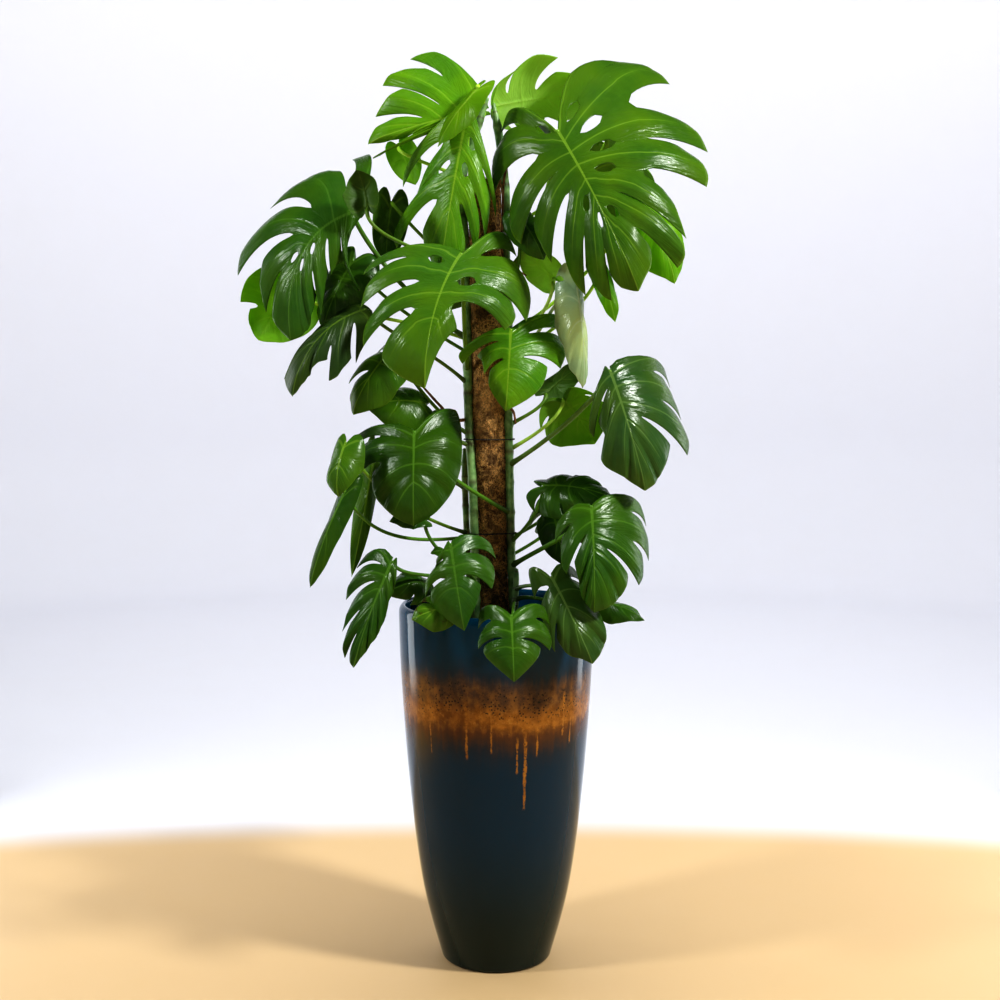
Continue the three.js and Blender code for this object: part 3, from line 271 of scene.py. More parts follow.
def catmull(points, t, closed=False):
    """A centripetal Catmull-Rom curve through 3-D points, at the numbers t from 0 to 1."""
    pts = np.asarray(points, float)
    if closed:
        pts = np.concatenate([pts[-1:], pts, pts[:2]])
    else:
        pts = np.concatenate([2 * pts[:1] - pts[1:2], pts, 2 * pts[-1:] - pts[-2:-1]])
    spans = len(pts) - 3
    out = []
    for value in t:
        i = min(int(spans * value), spans - 1)
        w = spans * value - i
        a, b, c, d = pts[i:i + 4]
        d0, d1, d2 = (max(v, 1e-6) ** 0.5 for v in np.linalg.norm([b - a, c - b, d - c], axis=1))
        t1 = ((b - a) / d0 - (c - a) / (d0 + d1) + (c - b) / d1) * d1
        t2 = ((c - b) / d1 - (d - b) / (d1 + d2) + (d - c) / d2) * d1
        out.append(b + t1 * w + (-3 * b + 3 * c - 2 * t1 - t2) * w**2 + (2 * b - 2 * c + t1 + t2) * w**3)
    return np.array(out)


def stem_at(name, height):
    path = catmull(STEMS[name][1], np.linspace(0, 1, 401))
    return path[np.argmin(np.abs(path[:, 2] - height))]


def pole_radius(angle, z):
    lumps = np.sin(angle * 3 + z * 0.021) + np.sin(angle * 5 - z * 0.043)
    return POLE_RADIUS + (POLE_TOP - z) * 0.0025 + lumps * 0.7


def pole_axis(z):
    return POLE_AXIS_AT_RIM + (z - POT_HEIGHT) * POLE_LEAN


# ---- meshes ----
class Build:
    """Collects points, faces and point values, in millimetres, for one mesh."""

    def __init__(self):
        self.points = []
        self.faces = []
        self.flat = []
        self.values = {}
        self.count = 0

    def add(self, points, faces, flat=False, **values):
        points = np.asarray(points, float)
        self.faces.extend([tuple(i + self.count for i in f) for f in faces])
        self.flat.extend([flat] * len(faces) if isinstance(flat, bool) else flat)
        for key, given in values.items():
            self.values.setdefault(key, []).append(np.broadcast_to(given, (len(points), 3)))
        self.points.append(points)
        self.count += len(points)

    def make(self, name, material, node):
        mesh = bpy.data.meshes.new(name)
        mesh.from_pydata((np.concatenate(self.points) * MM).tolist(), [], self.faces)
        mesh.polygons.foreach_set("use_smooth", [not f for f in self.flat])
        for key, rows in self.values.items():
            layer = mesh.attributes.new(key, "FLOAT_VECTOR", "POINT")
            layer.data.foreach_set("vector", np.concatenate(rows).astype(np.float32).ravel())
        mesh.materials.append(material)
        mesh.update()
        obj = link(name, mesh)
        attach(obj, "root")
        if node:
            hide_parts(node)


def ring_faces(count, sides, closed=False):
    """Quads between rings of points. closed joins the last ring to the first."""
    faces = []
    for k in range(count if closed else count - 1):
        n = (k + 1) % count
        for a in range(sides):
            b = (a + 1) % sides
            faces.append((k * sides + a, k * sides + b, n * sides + b, n * sides + a))
    return faces


def tube_faces(count, sides):
    """Quads between rings, and a fan from each end ring to one of the two points after the rings."""
    faces = ring_faces(count, sides)
    last = (count - 1) * sides
    for a in range(sides):
        b = (a + 1) % sides
        faces.append((count * sides, b, a))
        faces.append((count * sides + 1, last + a, last + b))
    return faces


def tube(path, radii, sides):
    """A closed tube with rounded ends about a path: points and faces."""
    path = np.asarray(path, float)
    heading = unit(np.gradient(path, axis=0))
    side = unit(np.cross(heading[0], [0.31, 0.9, 0.2]))
    angles = np.arange(sides) * TURN / sides
    points = []
    for place, ahead, radius in zip(path, heading, radii):
        side = unit(side - ahead * np.dot(side, ahead))
        other = np.cross(ahead, side)
        points.append(place + np.outer(np.cos(angles) * radius, side)
                      + np.outer(np.sin(angles) * radius, other))
    first = path[0] - heading[0] * radii[0] * 0.5
    last = path[-1] + heading[-1] * radii[-1] * 0.5
    return np.concatenate([*points, [first, last]]), tube_faces(len(path), sides)


def lathe(profile, sides):
    """A surface of revolution about Z, from (radius, height) pairs that start and end on the axis."""
    rows = [p for p in profile if p[0] > 0]
    angles = [a * TURN / sides for a in range(sides)]
    points = [(math.cos(w) * r, math.sin(w) * r, z) for r, z in rows for w in angles]
    points += [(0, 0, profile[0][1]), (0, 0, profile[-1][1])]
    return points, tube_faces(len(rows), sides)


# ---- material helpers ----
class Nodes:
    """Short calls for building a node tree."""

    def __init__(self, name):
        self.material = bpy.data.materials.new(name)
        self.material.use_nodes = True
        self.tree = self.material.node_tree
        self.tree.nodes.clear()
        self.out = self.tree.nodes.new("ShaderNodeOutputMaterial")
        self.coord = self.tree.nodes.new("ShaderNodeTexCoord").outputs["Object"]

    def put(self, socket, value):
        if isinstance(value, bpy.types.NodeSocket):
            self.tree.links.new(value, socket)
        elif isinstance(value, tuple) and len(value) == 3 and socket.type == "RGBA":
            socket.default_value = (*value, 1.0)
        else:
            socket.default_value = value

    def node(self, kind, **inputs):
        node = self.tree.nodes.new("ShaderNode" + kind)
        for key, value in inputs.items():
            self.put(node.inputs[key.replace("_", " ")], value)
        return node

    def math(self, op, *values):
        """One operation over two values, or from left to right over more; a single value stays."""
        total = values[0]
        for value in values[1:]:
            node = self.node("Math")
            node.operation = op
            self.put(node.inputs[0], total)
            self.put(node.inputs[1], value)
            total = node.outputs[0]
        return total

    def add(self, *values):
        return self.math("ADD", *values)

    def sub(self, a, b):
        return self.math("SUBTRACT", a, b)

    def mul(self, *values):
        return self.math("MULTIPLY", *values)

    def drift(self, value, by):
        """A noise value turned into a shift of up to half of by, either way."""
        return self.mul(self.sub(value, 0.5), by)

    def bell(self, value, middle, scale):
        off = self.mul(self.sub(value, middle), scale)
        return self.math("POWER", 2.718, self.mul(off, off, -1.0))

    def ramp(self, value, low, high):
        """0 below low, 1 above high; low may be the larger."""
        flip = low > high
        node = self.node("MapRange", Value=value, From_Min=min(low, high), From_Max=max(low, high),
                         To_Min=float(flip), To_Max=float(not flip))
        node.interpolation_type = "SMOOTHSTEP"
        return node.outputs["Result"]

    def band(self, value, start, full, fade, end):
        """0 up to start, 1 from full to fade, 0 again from end."""
        return self.mul(self.ramp(value, start, full), self.ramp(value, end, fade))

    def mix(self, factor, a, b):
        node = self.tree.nodes.new("ShaderNodeMix")
        node.data_type = "RGBA"
        for index, value in ((0, factor), (6, a), (7, b)):
            self.put(node.inputs[index], value)
        return node.outputs[2]

    def over(self, colour, other, *share):
        """colour with other laid over it, by the product of the shares."""
        return self.mix(self.mul(*share), colour, other)

    def noise(self, scale, detail=3.0, rough=0.55, vector=None, warp=0.0):
        node = self.node("TexNoise", Scale=scale, Detail=detail, Roughness=rough, Distortion=warp,
                         Vector=vector or self.coord)
        return node.outputs["Fac"]

    def stretch(self, *scale):
        return self.node("Mapping", Scale=scale, Vector=self.coord).outputs["Vector"]

    def split(self, vector):
        return self.node("SeparateXYZ", Vector=vector).outputs[:]

    def attribute(self, name):
        node = self.node("Attribute")
        node.attribute_name = name
        return self.split(node.outputs["Vector"])

    def bump(self, height, strength, distance):
        node = self.node("Bump", Height=height, Strength=strength, Distance=distance)
        return node.outputs["Normal"]

    def surface(self, colour, rough, normal=None, specular=0.5):
        values = {"Normal": normal} if normal else {}
        return self.node("BsdfPrincipled", Base_Color=colour, Roughness=rough,
                         Specular_IOR_Level=specular, **values).outputs[0]

    def finish(self, shader):
        self.tree.links.new(shader, self.out.inputs["Surface"])
        return self.material


def times(colour, factor):
    return tuple(c * factor for c in colour)


# ---- leaf blades ----
BLADE = 1.1  # thickness
TWIST = 9  # how far the corners of a lobe that has parted rise and fall
NOD = 0.05  # how far the margin hangs back, as a share of the width
GAP = 0.13  # width of a split, where the leaf states none
STALK = 3.4  # radius of a stalk, where the leaf states none
STALK_SIDES = 12
SHEATH = 14  # length over which the stalk's foot narrows
KNEE = 9  # length of its thicker end under the blade
HOLE_MIDDLE, HOLE_REACH, HOLE_WIDTH = 0.22, 0.1, 0.2  # from midrib to margin, and along the blade
SLIM = np.array([[-0.07, 0.03], [-0.21, 0.2], [-0.1, 0.41], [0.13, 0.5], [0.36, 0.48],
                 [0.57, 0.4], [0.75, 0.27], [0.89, 0.11], [1, 0]])
FULL = np.array([[-0.07, 0.03], [-0.25, 0.21], [-0.12, 0.43], [0.14, 0.52], [0.42, 0.52],
                 [0.66, 0.47], [0.86, 0.35], [0.96, 0.16], [1, 0]])
OUTLINE = SLIM * 0.6 + FULL * 0.4
# The grid over one lobe: shares of its width, and shares of the way from midrib to margin.
ACROSS = np.array([0, 0.05, 0.12, 0.21, 0.31, 0.4, 0.46, 0.5, 0.54, 0.6, 0.69, 0.79, 0.88, 0.95, 1])
ROWS = [0, 0.02, 0.045, 0.08, 0.12, 0.16, 0.19, 0.22, 0.25, 0.28, 0.32, 0.38, 0.44, 0.5, 0.55, 0.61, 0.67,
        0.73, 0.79, 0.85, 0.9, 0.94, 0.975, 1]
ROW_SPACE = 0.018


class Leaf:
    """One leaf: the same surface as its solid, on a finer grid."""

    def __init__(self, name, index):
        kind, stem, node, base, tip, face, wide, bow, fold, curl, left, right, *more = LEAVES[name]
        self.more = more[0] if more else {}
        self.index, self.kind, self.wide, self.cuts = index, kind, wide, (left, right)
        self.fold, self.curl = np.radians(fold), np.radians(curl) / (wide / 2)
        self.lobes = len(left) + 1
        self.ends = [np.reshape(side, (-1, 2)) for side in ENDS.get(name, ())]
        self.radius = self.more.get("stalk", STALK)
        self.root = stem_at(STEM_NAMES[stem], node)
        p0, p2 = np.array(base, float), np.array(tip, float)
        chord = np.linalg.norm(p2 - p0)
        self.e = unit(p2 - p0)
        self.n = unit(face - self.e * np.dot(face, self.e))
        b = np.cross(self.n, self.e)
        self.p0, self.p2 = p0, p2
        self.p1 = p0 + self.e * chord * self.more.get("peak", 0.5) + self.n * bow * 2
        self.p1 = self.p1 + b * 2 * self.more.get("sway", 0)
        steps = self.middle(np.linspace(0, 1, 17))
        self.length = np.linalg.norm(np.diff(steps, axis=0), axis=1).sum()

    def middle(self, t):
        t = t[..., None]
        before = self.p0 + (self.p1 - self.p0) * 2 * t
        after = self.p0 * (1 - t) ** 2 + self.p1 * 2 * t * (1 - t) + self.p2 * t * t
        return np.where(t < 0, before, after)

    def heading(self, t):
        s = np.maximum(t, 0)[..., None]
        return unit((self.p1 - self.p0) * 2 * (1 - s) + (self.p2 - self.p1) * 2 * s)

    def place(self, side, along, across):
        f, k = self.fold[side], self.curl[side]
        reach = (np.sin(f + k * across) - math.sin(f)) / k
        drop = (np.cos(f + k * across) - math.cos(f)) / k
        t = self.heading(along)
        sideways = unit(np.cross(self.n, t))
        up = np.cross(t, sideways)
        sign = 1 if side else -1
        return self.middle(along) + sideways * (sign * reach)[..., None] + up * drop[..., None], up

    def margin(self, side, t):
        if not self.ends:
            return spline(OUTLINE, t)
        n = self.lobes
        pts = [[-0.06 * self.length, 0.03 * self.wide], *self.ends[side], [self.length, 0]]
        h = 0.5 / n
        x = np.where(t < h, 2 * t * n, np.where(t > 1 - h, n + (t - 1 + h) * 2 * n, t * n + 0.5))
        return spline(pts, x / (n + 1)) / [self.length, self.wide]

    def opening(self, side, b, r):
        """Width of the split after lobe b - 1, as a share of the blade's length, at the reaches r."""
        cut = self.cuts[side][b - 1]
        x = np.clip((r - cut) / max(1 - cut, 1e-9), 0, 1)
        size = self.more.get("gap", GAP) * (0.75 + 0.5 * noise(self.index, b + 10 * side))
        if "gaps" in self.more:
            size = self.more["gaps"][side][b - 1]
        split = np.where(r > cut + 1e-9, size / self.lobes * x**0.4 * (1 - 0.15 * x), 0)
        if "holes" in self.more and cut > 0.35:
            y = (r - HOLE_MIDDLE) / HOLE_REACH
            hole = HOLE_WIDTH / self.lobes * np.sqrt(np.maximum(0, 1 - y * y))
            split = np.where(np.abs(r - HOLE_MIDDLE) < HOLE_REACH - 1e-4, hole, split)
        return split

    @staticmethod
    def parted(cut, r):
        """How far a lobe has parted from its neighbour: 0 where they are joined, 1 at the margin."""
        return np.clip((r - cut) / (1 - cut), 0, 1) if cut < 1 else 0 * r

    def grid(self, side, lobe, rows):
        """Points, distance to the lobe's vein, distance to the midrib, and t, over one lobe."""
        n, last = self.lobes, lobe == self.lobes - 1
        r = rows[None, :]
        q = ACROSS[:, None]
        lower = self.cuts[side][lobe - 1] if lobe else 1
        higher = 1 if last else self.cuts[side][lobe]
        lo = self.opening(side, lobe, r) if lobe else 0
        hi = 0 if last else self.opening(side, lobe + 1, r)
        t = (lobe + q) / n + lo * (1 - q) ** 2 - hi * q**2 + 0 * r
        near = float(lower < 1) if lobe else 0.3
        far = float(higher < 1)
        edge = self.margin(side, t)
        turn = TWIST * (2 * noise(self.index, 60 + lobe + 10 * side) - 1)
        loose = np.where(q < 0.5, self.parted(lower, r), self.parted(higher, r))
        twist = turn * (2 * q - 1) * loose**1.5
        pull = 0.2 * near * (1 - q) ** 2.4
        hook = 0.16 / n * far * q**3 * r**4
        rr = r * (1 - pull * r**3)
        veins = 0.64 * t**1.25
        back = 0.24 * rr * (1 - rr) * np.where(t < 0.98, 1, 0) * np.minimum(1, edge[..., 1] * 4)
        along = veins * (1 - rr) + edge[..., 0] * rr - back + hook
        across = edge[..., 1] * self.wide * rr
        point, up = self.place(side, along, across)
        hump = 0.5 * 4 * q * (1 - q) + 0.5 * np.sin(math.pi * q) ** 2
        roof = 7 * (hump - 0.5) * np.minimum(1, r * 1.4) * (1 - q if last else 1)
        nod = NOD * self.wide * np.maximum(0, 2 * r - 1) ** 2
        wave = 6 * r * r * np.sin(t * 9 + 6.283 * noise(self.index, 3 + side)) * (1 - t**3)
        ripple = 1.1 * r**4 * np.sin(q * 14 + 6.283 * noise(self.index, 20 + lobe + 7 * side))
        point = point + up * (roof + wave + twist + ripple - nod)[..., None]
        span = np.hypot((along[-1] - along[0]) * self.length, across[-1] - across[0])
        return point, np.abs(q - 0.5) * span[None, :], across, t

    def skin(self):
        """The middle surface: points, the values at them, and faces that share points where lobes join."""
        cuts = [c for c in self.cuts[0] + self.cuts[1] if c < 1]
        base = [v for v in ROWS if not any(0 < abs(v - c) < ROW_SPACE for c in cuts)]
        rows = np.array(sorted({*base, *cuts}))
        last = len(ACROSS) - 1
        table, found, faces = {}, [], []
        for side in range(2):
            for lobe in range(self.lobes):
                grid = self.grid(side, lobe, rows)
                opened = self.opening(side, lobe + 1, rows) if lobe < self.lobes - 1 else None
                ids = np.zeros((last + 1, len(rows)), int)
                for c, j in np.ndindex(ids.shape):
                    if j == 0:
                        key = ("midrib", lobe * last + c)
                    elif c == last and opened is None:
                        key = ("tip", j)
                    elif c == last and opened[j] == 0:
                        key = (side, lobe + 1, 0, j)
                    else:
                        key = (side, lobe, c, j)
                    if key not in table:
                        table[key] = len(found)
                        found.append([*(value[c, j] for value in grid), rows[j]])
                    ids[c, j] = table[key]
                for c, j in np.ndindex(last, len(rows) - 1):
                    a, b, d, f = ids[c, j], ids[c + 1, j], ids[c, j + 1], ids[c + 1, j + 1]
                    quad = (a, b, f, d) if side == 0 else (a, d, f, b)
                    quad = tuple(dict.fromkeys(int(v) for v in quad))[::-1]
                    if len(quad) > 2:
                        faces.append(quad)
        return [np.array(column) for column in zip(*found)] + [faces]

    def blade(self, build):
        points, vein, rib, t, r, faces = self.skin()
        normals = np.zeros_like(points)
        for f in faces:
            a, b, c = points[f[0]], points[f[1]], points[f[-1]]
            normals[list(f)] += np.cross(b - a, c - a)
        normals = unit(normals)
        edge = 1 - 0.45 * smooth(0.93, 1, r)
        groove = 0.9 * (1 - 0.6 * r) * bell(vein, 2.2) * smooth(0, 0.04, r)
        channel = 1.1 * (1 - 0.5 * t) * bell(rib, 2.6)
        upper = points + normals * (BLADE / 2 * edge - groove - channel)[:, None]
        ridge = 1.3 * (1 - 0.75 * r) * bell(vein, 1.7) * smooth(0, 0.04, r)
        keel = self.radius * (1 - 0.75 * t) * bell(rib, 1.1 * self.radius * (1 - 0.55 * t))
        lower = points - normals * (BLADE / 2 * edge + np.maximum(ridge, keel))[:, None]
        count = len(points)
        shell = faces + [tuple(v + count for v in reversed(f)) for f in faces]
        flat = [False] * len(shell)
        edges = dict.fromkeys((a, b) for f in faces for a, b in zip(f, f[1:] + f[:1]))
        for a, b in edges:
            if (b, a) not in edges:
                shell.append((b, a, a + count, b + count))
                flat.append(True)
        spot = np.zeros((2 * count, 3))
        spot[:, 0] = np.tile(t, 2)
        spot[count:, 1] = 1
        build.add(np.concatenate([upper, lower]), shell, flat,
                  ribs=np.tile(np.stack([vein, rib, r], axis=1), (2, 1)), spot=spot)

    def stalk_path(self, steps):
        start, end = self.root, self.p0 - self.n * 0.3
        reach = np.linalg.norm(end - start)
        out = unit((end - start) * [1, 1, 0])
        up = np.array([0, 0, 1.0])
        via = np.array(self.more.get("via", (0, 0, 0)), float)
        first = start + out * reach * 0.3 + up * reach * 0.16 + via
        arrive = unit(self.n * 0.75 + up * 0.5 + self.e * 0.15)
        second = end - arrive * reach * 0.34 + via
        t = np.linspace(0, 1, steps)[:, None]
        s = 1 - t
        return start * s**3 + first * 3 * t * s**2 + second * 3 * t * t * s + end * t**3

    def stalk(self, build):
        """The stalk: a sheath that clasps the stem, a slim middle and a thicker knee under the blade."""
        path = self.stalk_path(30)
        run = np.concatenate([[0], np.cumsum(np.linalg.norm(np.diff(path, axis=0), axis=1))])
        sheath = 1 + 0.75 * np.exp(-run / SHEATH)
        knee = 1 + 0.22 * bell(run - run[-1] + KNEE, KNEE)
        end = 1 - 0.35 * smooth(run[-1] - 4, run[-1], run)
        points, faces = tube(path, self.radius * sheath * knee * end, STALK_SIDES)
        t = np.concatenate([np.repeat(run / run[-1], STALK_SIDES), [0, 1]])
        spot = np.stack([t, np.zeros(len(t)), np.ones(len(t))], axis=1)
        build.add(points, faces, ribs=(99, 99, 0.5), spot=spot)


# Colours of a leaf kind: upper side, vein, under side; then roughness and the light let through.
KINDS = {
    "deep": ((0.046, 0.128, 0.012), (0.10, 0.22, 0.03), (0.05, 0.12, 0.02), 0.30, 0.05),
    "dark": ((0.044, 0.124, 0.010), (0.12, 0.26, 0.03), (0.06, 0.15, 0.02), 0.30, 0.08),
    "mid": ((0.086, 0.205, 0.014), (0.22, 0.38, 0.04), (0.08, 0.18, 0.02), 0.30, 0.12),
    "bright": ((0.150, 0.370, 0.018), (0.32, 0.54, 0.05), (0.16, 0.34, 0.03), 0.32, 0.2),
    "lime": ((0.20, 0.42, 0.02), (0.42, 0.62, 0.08), (0.32, 0.56, 0.05), 0.36, 0.5),
    "olive": ((0.05, 0.10, 0.018), (0.13, 0.22, 0.03), (0.07, 0.15, 0.02), 0.38, 0.1),
    # This kind is partly the leaf's own pale tone and partly painted light: its under side is made lighter
    # to stand in for light glowing through the leaf.
    "pale": ((0.28, 0.46, 0.05), (0.5, 0.66, 0.16), (0.50, 0.72, 0.18), 0.42, 0.55),
    # This kind's light yellow-green is painted light: it stands in for the glow of a leaf lit from behind.
    "backlit": ((0.18, 0.32, 0.03), (0.36, 0.5, 0.1), (0.24, 0.44, 0.05), 0.4, 0.55),
    "grey": ((0.052, 0.118, 0.025), (0.16, 0.27, 0.07), (0.08, 0.16, 0.03), 0.24, 0.06),
    # This kind's whitish green is a painted highlight: it stands in for the glare on a glossy hanging
    # leaf.
    "silver": ((0.36, 0.50, 0.27), (0.6, 0.7, 0.45), (0.36, 0.5, 0.22), 0.26, 0.15),
}
SPOTTED = {"rim_spotted": 1.0, "bottom_centre": 0.55, "right_flat": 0.3}
DRY = (0.06, 0.03, 0.008)
STALK_FOOT = (0.09, 0.15, 0.04)


def leaf_colour(m, kind, seed, lateral, mid, r, t, below):
    """Upper side with veins, creases and pale margin, and the paler under side, without the stalk."""
    top, vein, under = kind
    fine = m.noise(70.0)
    cool = (top[0] * 0.7, top[1] * 0.82, top[2] * 1.1)
    warm = (top[0] * 1.35, top[1] * 1.15, top[2] * 0.8)
    colour = m.mix(m.ramp(m.noise(9.0, 2.0), 0.3, 0.7), cool, warm)
    colour = m.over(colour, times(top, 1.3), m.ramp(fine, 0.35, 0.75), 0.3)
    colour = m.over(colour, times(top, 0.72), m.ramp(lateral, 2.0, 14.0), 0.3)
    along_vein = m.node("CombineXYZ", X=m.mul(lateral, 0.16), Y=m.mul(mid, 0.03), Z=seed * 1.7)
    creases = m.noise(1.0, 3.0, 0.5, vector=along_vein.outputs[0])
    colour = m.over(colour, vein, m.ramp(creases, 0.55, 0.7), 0.04)
    side_vein = m.ramp(m.sub(lateral, m.sub(1.9, m.mul(r, 1.2))), 0.7, -0.4)
    side_vein = m.mul(side_vein, m.ramp(r, 1.0, 0.55))
    colour = m.over(colour, vein, side_vein, 0.5)
    midrib = m.ramp(m.sub(mid, m.sub(2.9, m.mul(t, 2.1))), 0.8, -0.4)
    colour = m.over(colour, vein, midrib, 0.8)
    colour = m.over(colour, vein, m.ramp(r, 0.975, 1.0), 0.45)
    pale = m.over(under, vein, m.math("MAXIMUM", side_vein, midrib), 0.6)
    pale = m.over(pale, times(under, 0.7), m.ramp(fine, 0.3, 0.8), 0.3)
    return m.mix(below, colour, pale), creases, fine


def leaf_material(name, kind, seed):
    top, vein, under, rough, through = KINDS[kind]
    top = times(top, 0.88 + 0.24 * noise(seed, 41))
    m = Nodes("leaf_" + name)
    lateral, mid, r = m.attribute("ribs")
    t, below, stalk = m.attribute("spot")
    blade = m.ramp(stalk, 1.0, 0.0)
    colour, creases, fine = leaf_colour(m, (top, vein, under), seed, lateral, mid, r, t, below)
    spotted = SPOTTED.get(name)
    if spotted:
        blotch = m.ramp(m.noise(26.0, 4.0, 0.6, warp=0.4), 0.66 - 0.08 * spotted, 0.7)
        colour = m.over(colour, DRY, blotch, m.ramp(r, 0.25, 0.6), 0.9 * spotted)
    green = tuple(0.75 * a + 0.75 * b for a, b in zip(vein, under))
    green = m.mix(m.ramp(t, 0.0, 0.2), STALK_FOOT, green)
    green = m.over(green, times(vein, 0.5), m.ramp(fine, 0.4, 0.7), 0.35)
    colour = m.mix(stalk, colour, green)
    polish = m.add(rough - 0.10, m.mul(m.noise(34.0), 0.1), m.mul(below, 0.16))
    height = m.add(m.mul(creases, 1.6), m.mul(m.noise(140.0, 2.0), 0.15), m.mul(m.noise(30.0, 2.0), 0.8))
    normal = m.bump(m.mul(height, blade), 0.65, 0.0016)
    surface = m.surface(colour, polish, normal, 0.25)
    lit = m.mix(0.5, colour, tuple(min(1.0, c * 2.0 + 0.004) for c in top))
    glow = m.node("BsdfTranslucent", Color=lit, Normal=normal).outputs[0]
    blend = m.node("MixShader")
    for socket, value in zip(blend.inputs, (m.mul(blade, through), surface, glow)):
        m.put(socket, value)
    return m.finish(blend.outputs[0])


def add_leaves():
    for index, name in enumerate(LEAVES):
        leaf = Leaf(name, index)
        build = Build()
        leaf.blade(build)
        leaf.stalk(build)
        node = "leaf_" + name
        build.make("fine_" + node, leaf_material(name, leaf.kind, index), node)


# ---- planter and soil ----
# Runs of glaze: angle from the front in radians, top and bottom in metres, half width in radians.
RUNS = [
    (-0.31, 0.56, 0.452, 0.020), (-0.05, 0.532, 0.466, 0.015), (0.22, 0.49, 0.424, 0.015),
    (0.31, 0.50, 0.352, 0.020), (0.44, 0.51, 0.455, 0.015), (0.76, 0.571, 0.488, 0.018),
    (0.88, 0.52, 0.470, 0.013), (-0.75, 0.52, 0.455, 0.013), (-1.3, 0.52, 0.45, 0.015),
    (1.5, 0.52, 0.42, 0.018), (1.9, 0.52, 0.46, 0.015), (2.5, 0.52, 0.40, 0.018),
    (-1.9, 0.52, 0.39, 0.018), (-2.6, 0.52, 0.46, 0.015),
]


def glaze_runs(m, z, angle):
    runs = 0.0
    for at, top, bottom, width in RUNS:
        beside = m.add(m.math("ABSOLUTE", m.sub(angle, at), 0.0), m.drift(m.noise(55.0), width * 2.4))
        across = m.ramp(beside, width, width * 0.3)
        down = m.band(z, bottom - 0.005, bottom + 0.004, top - 0.01, top + 0.01)
        runs = m.math("MAXIMUM", runs, m.mul(across, down))
    return runs


def planter_material():
    """Reactive glaze: deep blue above, an uneven amber band with runs, near black below. Painted light:
    greenish grey at the foot as a reflection of the floor, and a brown sheen on the left side about the
    band.
    """
    m = Nodes("glaze")
    x, y, z = m.split(m.coord)
    angle = m.math("ARCTAN2", x, m.mul(y, -1.0))
    dip = m.bell(angle, 0.3, 1 / 0.45)
    level = m.add(z, m.drift(m.noise(4.0, 2.0), 0.05), m.mul(dip, 0.014))
    speck = m.noise(150.0, 4.0, 0.7)
    mottle = m.noise(42.0, 4.0, 0.65)
    streak = m.noise(1.0, 4.0, 0.6, vector=m.stretch(70, 70, 7))
    frayed = m.add(level, m.drift(streak, 0.05), m.drift(mottle, 0.03))
    blue = m.mix(m.ramp(z, 0.53, 0.66), (0.003, 0.020, 0.036), (0.003, 0.050, 0.100))
    blue = m.over(blue, (0.006, 0.060, 0.095), m.ramp(mottle, 0.45, 0.75), 0.35)
    # Darker navy below; the greenish grey towards the foot is a painted reflection of the floor.
    navy_and_floor_sheen = m.mix(m.ramp(z, 0.05, 0.32), (0.012, 0.026, 0.023), (0.001, 0.030, 0.064))
    colour = m.mix(m.ramp(level, 0.45, 0.54), navy_and_floor_sheen, blue)
    amber = m.mix(m.ramp(mottle, 0.3, 0.7), (0.20, 0.074, 0.008), (0.42, 0.18, 0.026))
    amber = m.over(amber, (0.52, 0.26, 0.05), m.ramp(speck, 0.5, 0.7), 0.5)
    core = m.band(frayed, 0.502, 0.530, 0.542, 0.572)
    lower = m.band(frayed, 0.462, 0.515, 0.515, 0.545)
    upper = m.band(frayed, 0.540, 0.560, 0.580, 0.620)
    halo = m.band(frayed, 0.42, 0.51, 0.575, 0.655)
    # A brown patch on the left side about the band is a painted sheen, where light from the left reflects.
    painted_left_sheen = m.mul(m.bell(angle, -0.95, 4.0), m.band(z, 0.38, 0.50, 0.57, 0.64))
    colour = m.over(colour, (0.06, 0.028, 0.006), halo, 0.45)
    colour = m.over(colour, (0.11, 0.070, 0.016), painted_left_sheen, 0.7)
    colour = m.over(colour, (0.17, 0.058, 0.007), lower, 0.6)
    colour = m.over(colour, amber, upper, m.add(0.2, m.mul(m.ramp(mottle, 0.3, 0.65), 0.3)))
    colour = m.over(colour, amber, core, 0.92)
    runs = glaze_runs(m, z, angle)
    drops = m.mix(mottle, (0.20, 0.075, 0.010), (0.55, 0.26, 0.045))
    colour = m.over(colour, drops, runs, m.ramp(speck, 0.36, 0.52))
    cells = m.node("TexVoronoi", Scale=170.0, Vector=m.coord).outputs["Distance"]
    pits = m.mul(m.ramp(cells, 0.34, 0.26), m.ramp(m.noise(16.0, 2.0), 0.42, 0.52))
    colour = m.over(colour, (0.010, 0.014, 0.012), pits, m.band(frayed, 0.525, 0.55, 0.585, 0.610), 0.85)
    height = m.add(m.mul(runs, 0.7), m.mul(m.noise(12.0, 2.0), 0.5), m.mul(m.noise(60.0, 2.0), 0.1))
    rough = m.add(0.05, m.mul(halo, 0.12))
    return m.finish(m.surface(colour, rough, m.bump(height, 0.2, 0.002), 0.34))


def add_planter():
    outer = [p for p in POT_OUTSIDE if p[1] <= POT_SHOULDER]
    body = catmull([[r, 0, z] for r, z in outer[2:]], np.linspace(0, 1, 300))
    wall = [(np.interp(z, body[:, 2], body[:, 0]), z) for z in np.linspace(9, POT_SHOULDER, 60)]
    foot = [(0, 0), (98, 0), (104, 0), (107.5, 1), (110, 3.2), (111.3, 6)]
    lip = [(195, 709), (194.3, 714), (192.5, 718), (190, 721.5), (186.5, 723.8), (183.5, 723.4),
           (181.3, 721), (181, 714)]
    radii, heights = zip(*outer)
    inner = [(np.interp(z, heights, radii) - POT_WALL, z) for z in (704, 690, 600, 480, 350, 250, 160, 80)]
    points, faces = lathe([*foot, *wall, *lip, *inner, (96, POT_FLOOR), (0, POT_FLOOR)], 144)
    build = Build()
    build.add(points, faces)
    build.make("glazed_planter", planter_material(), "planter")


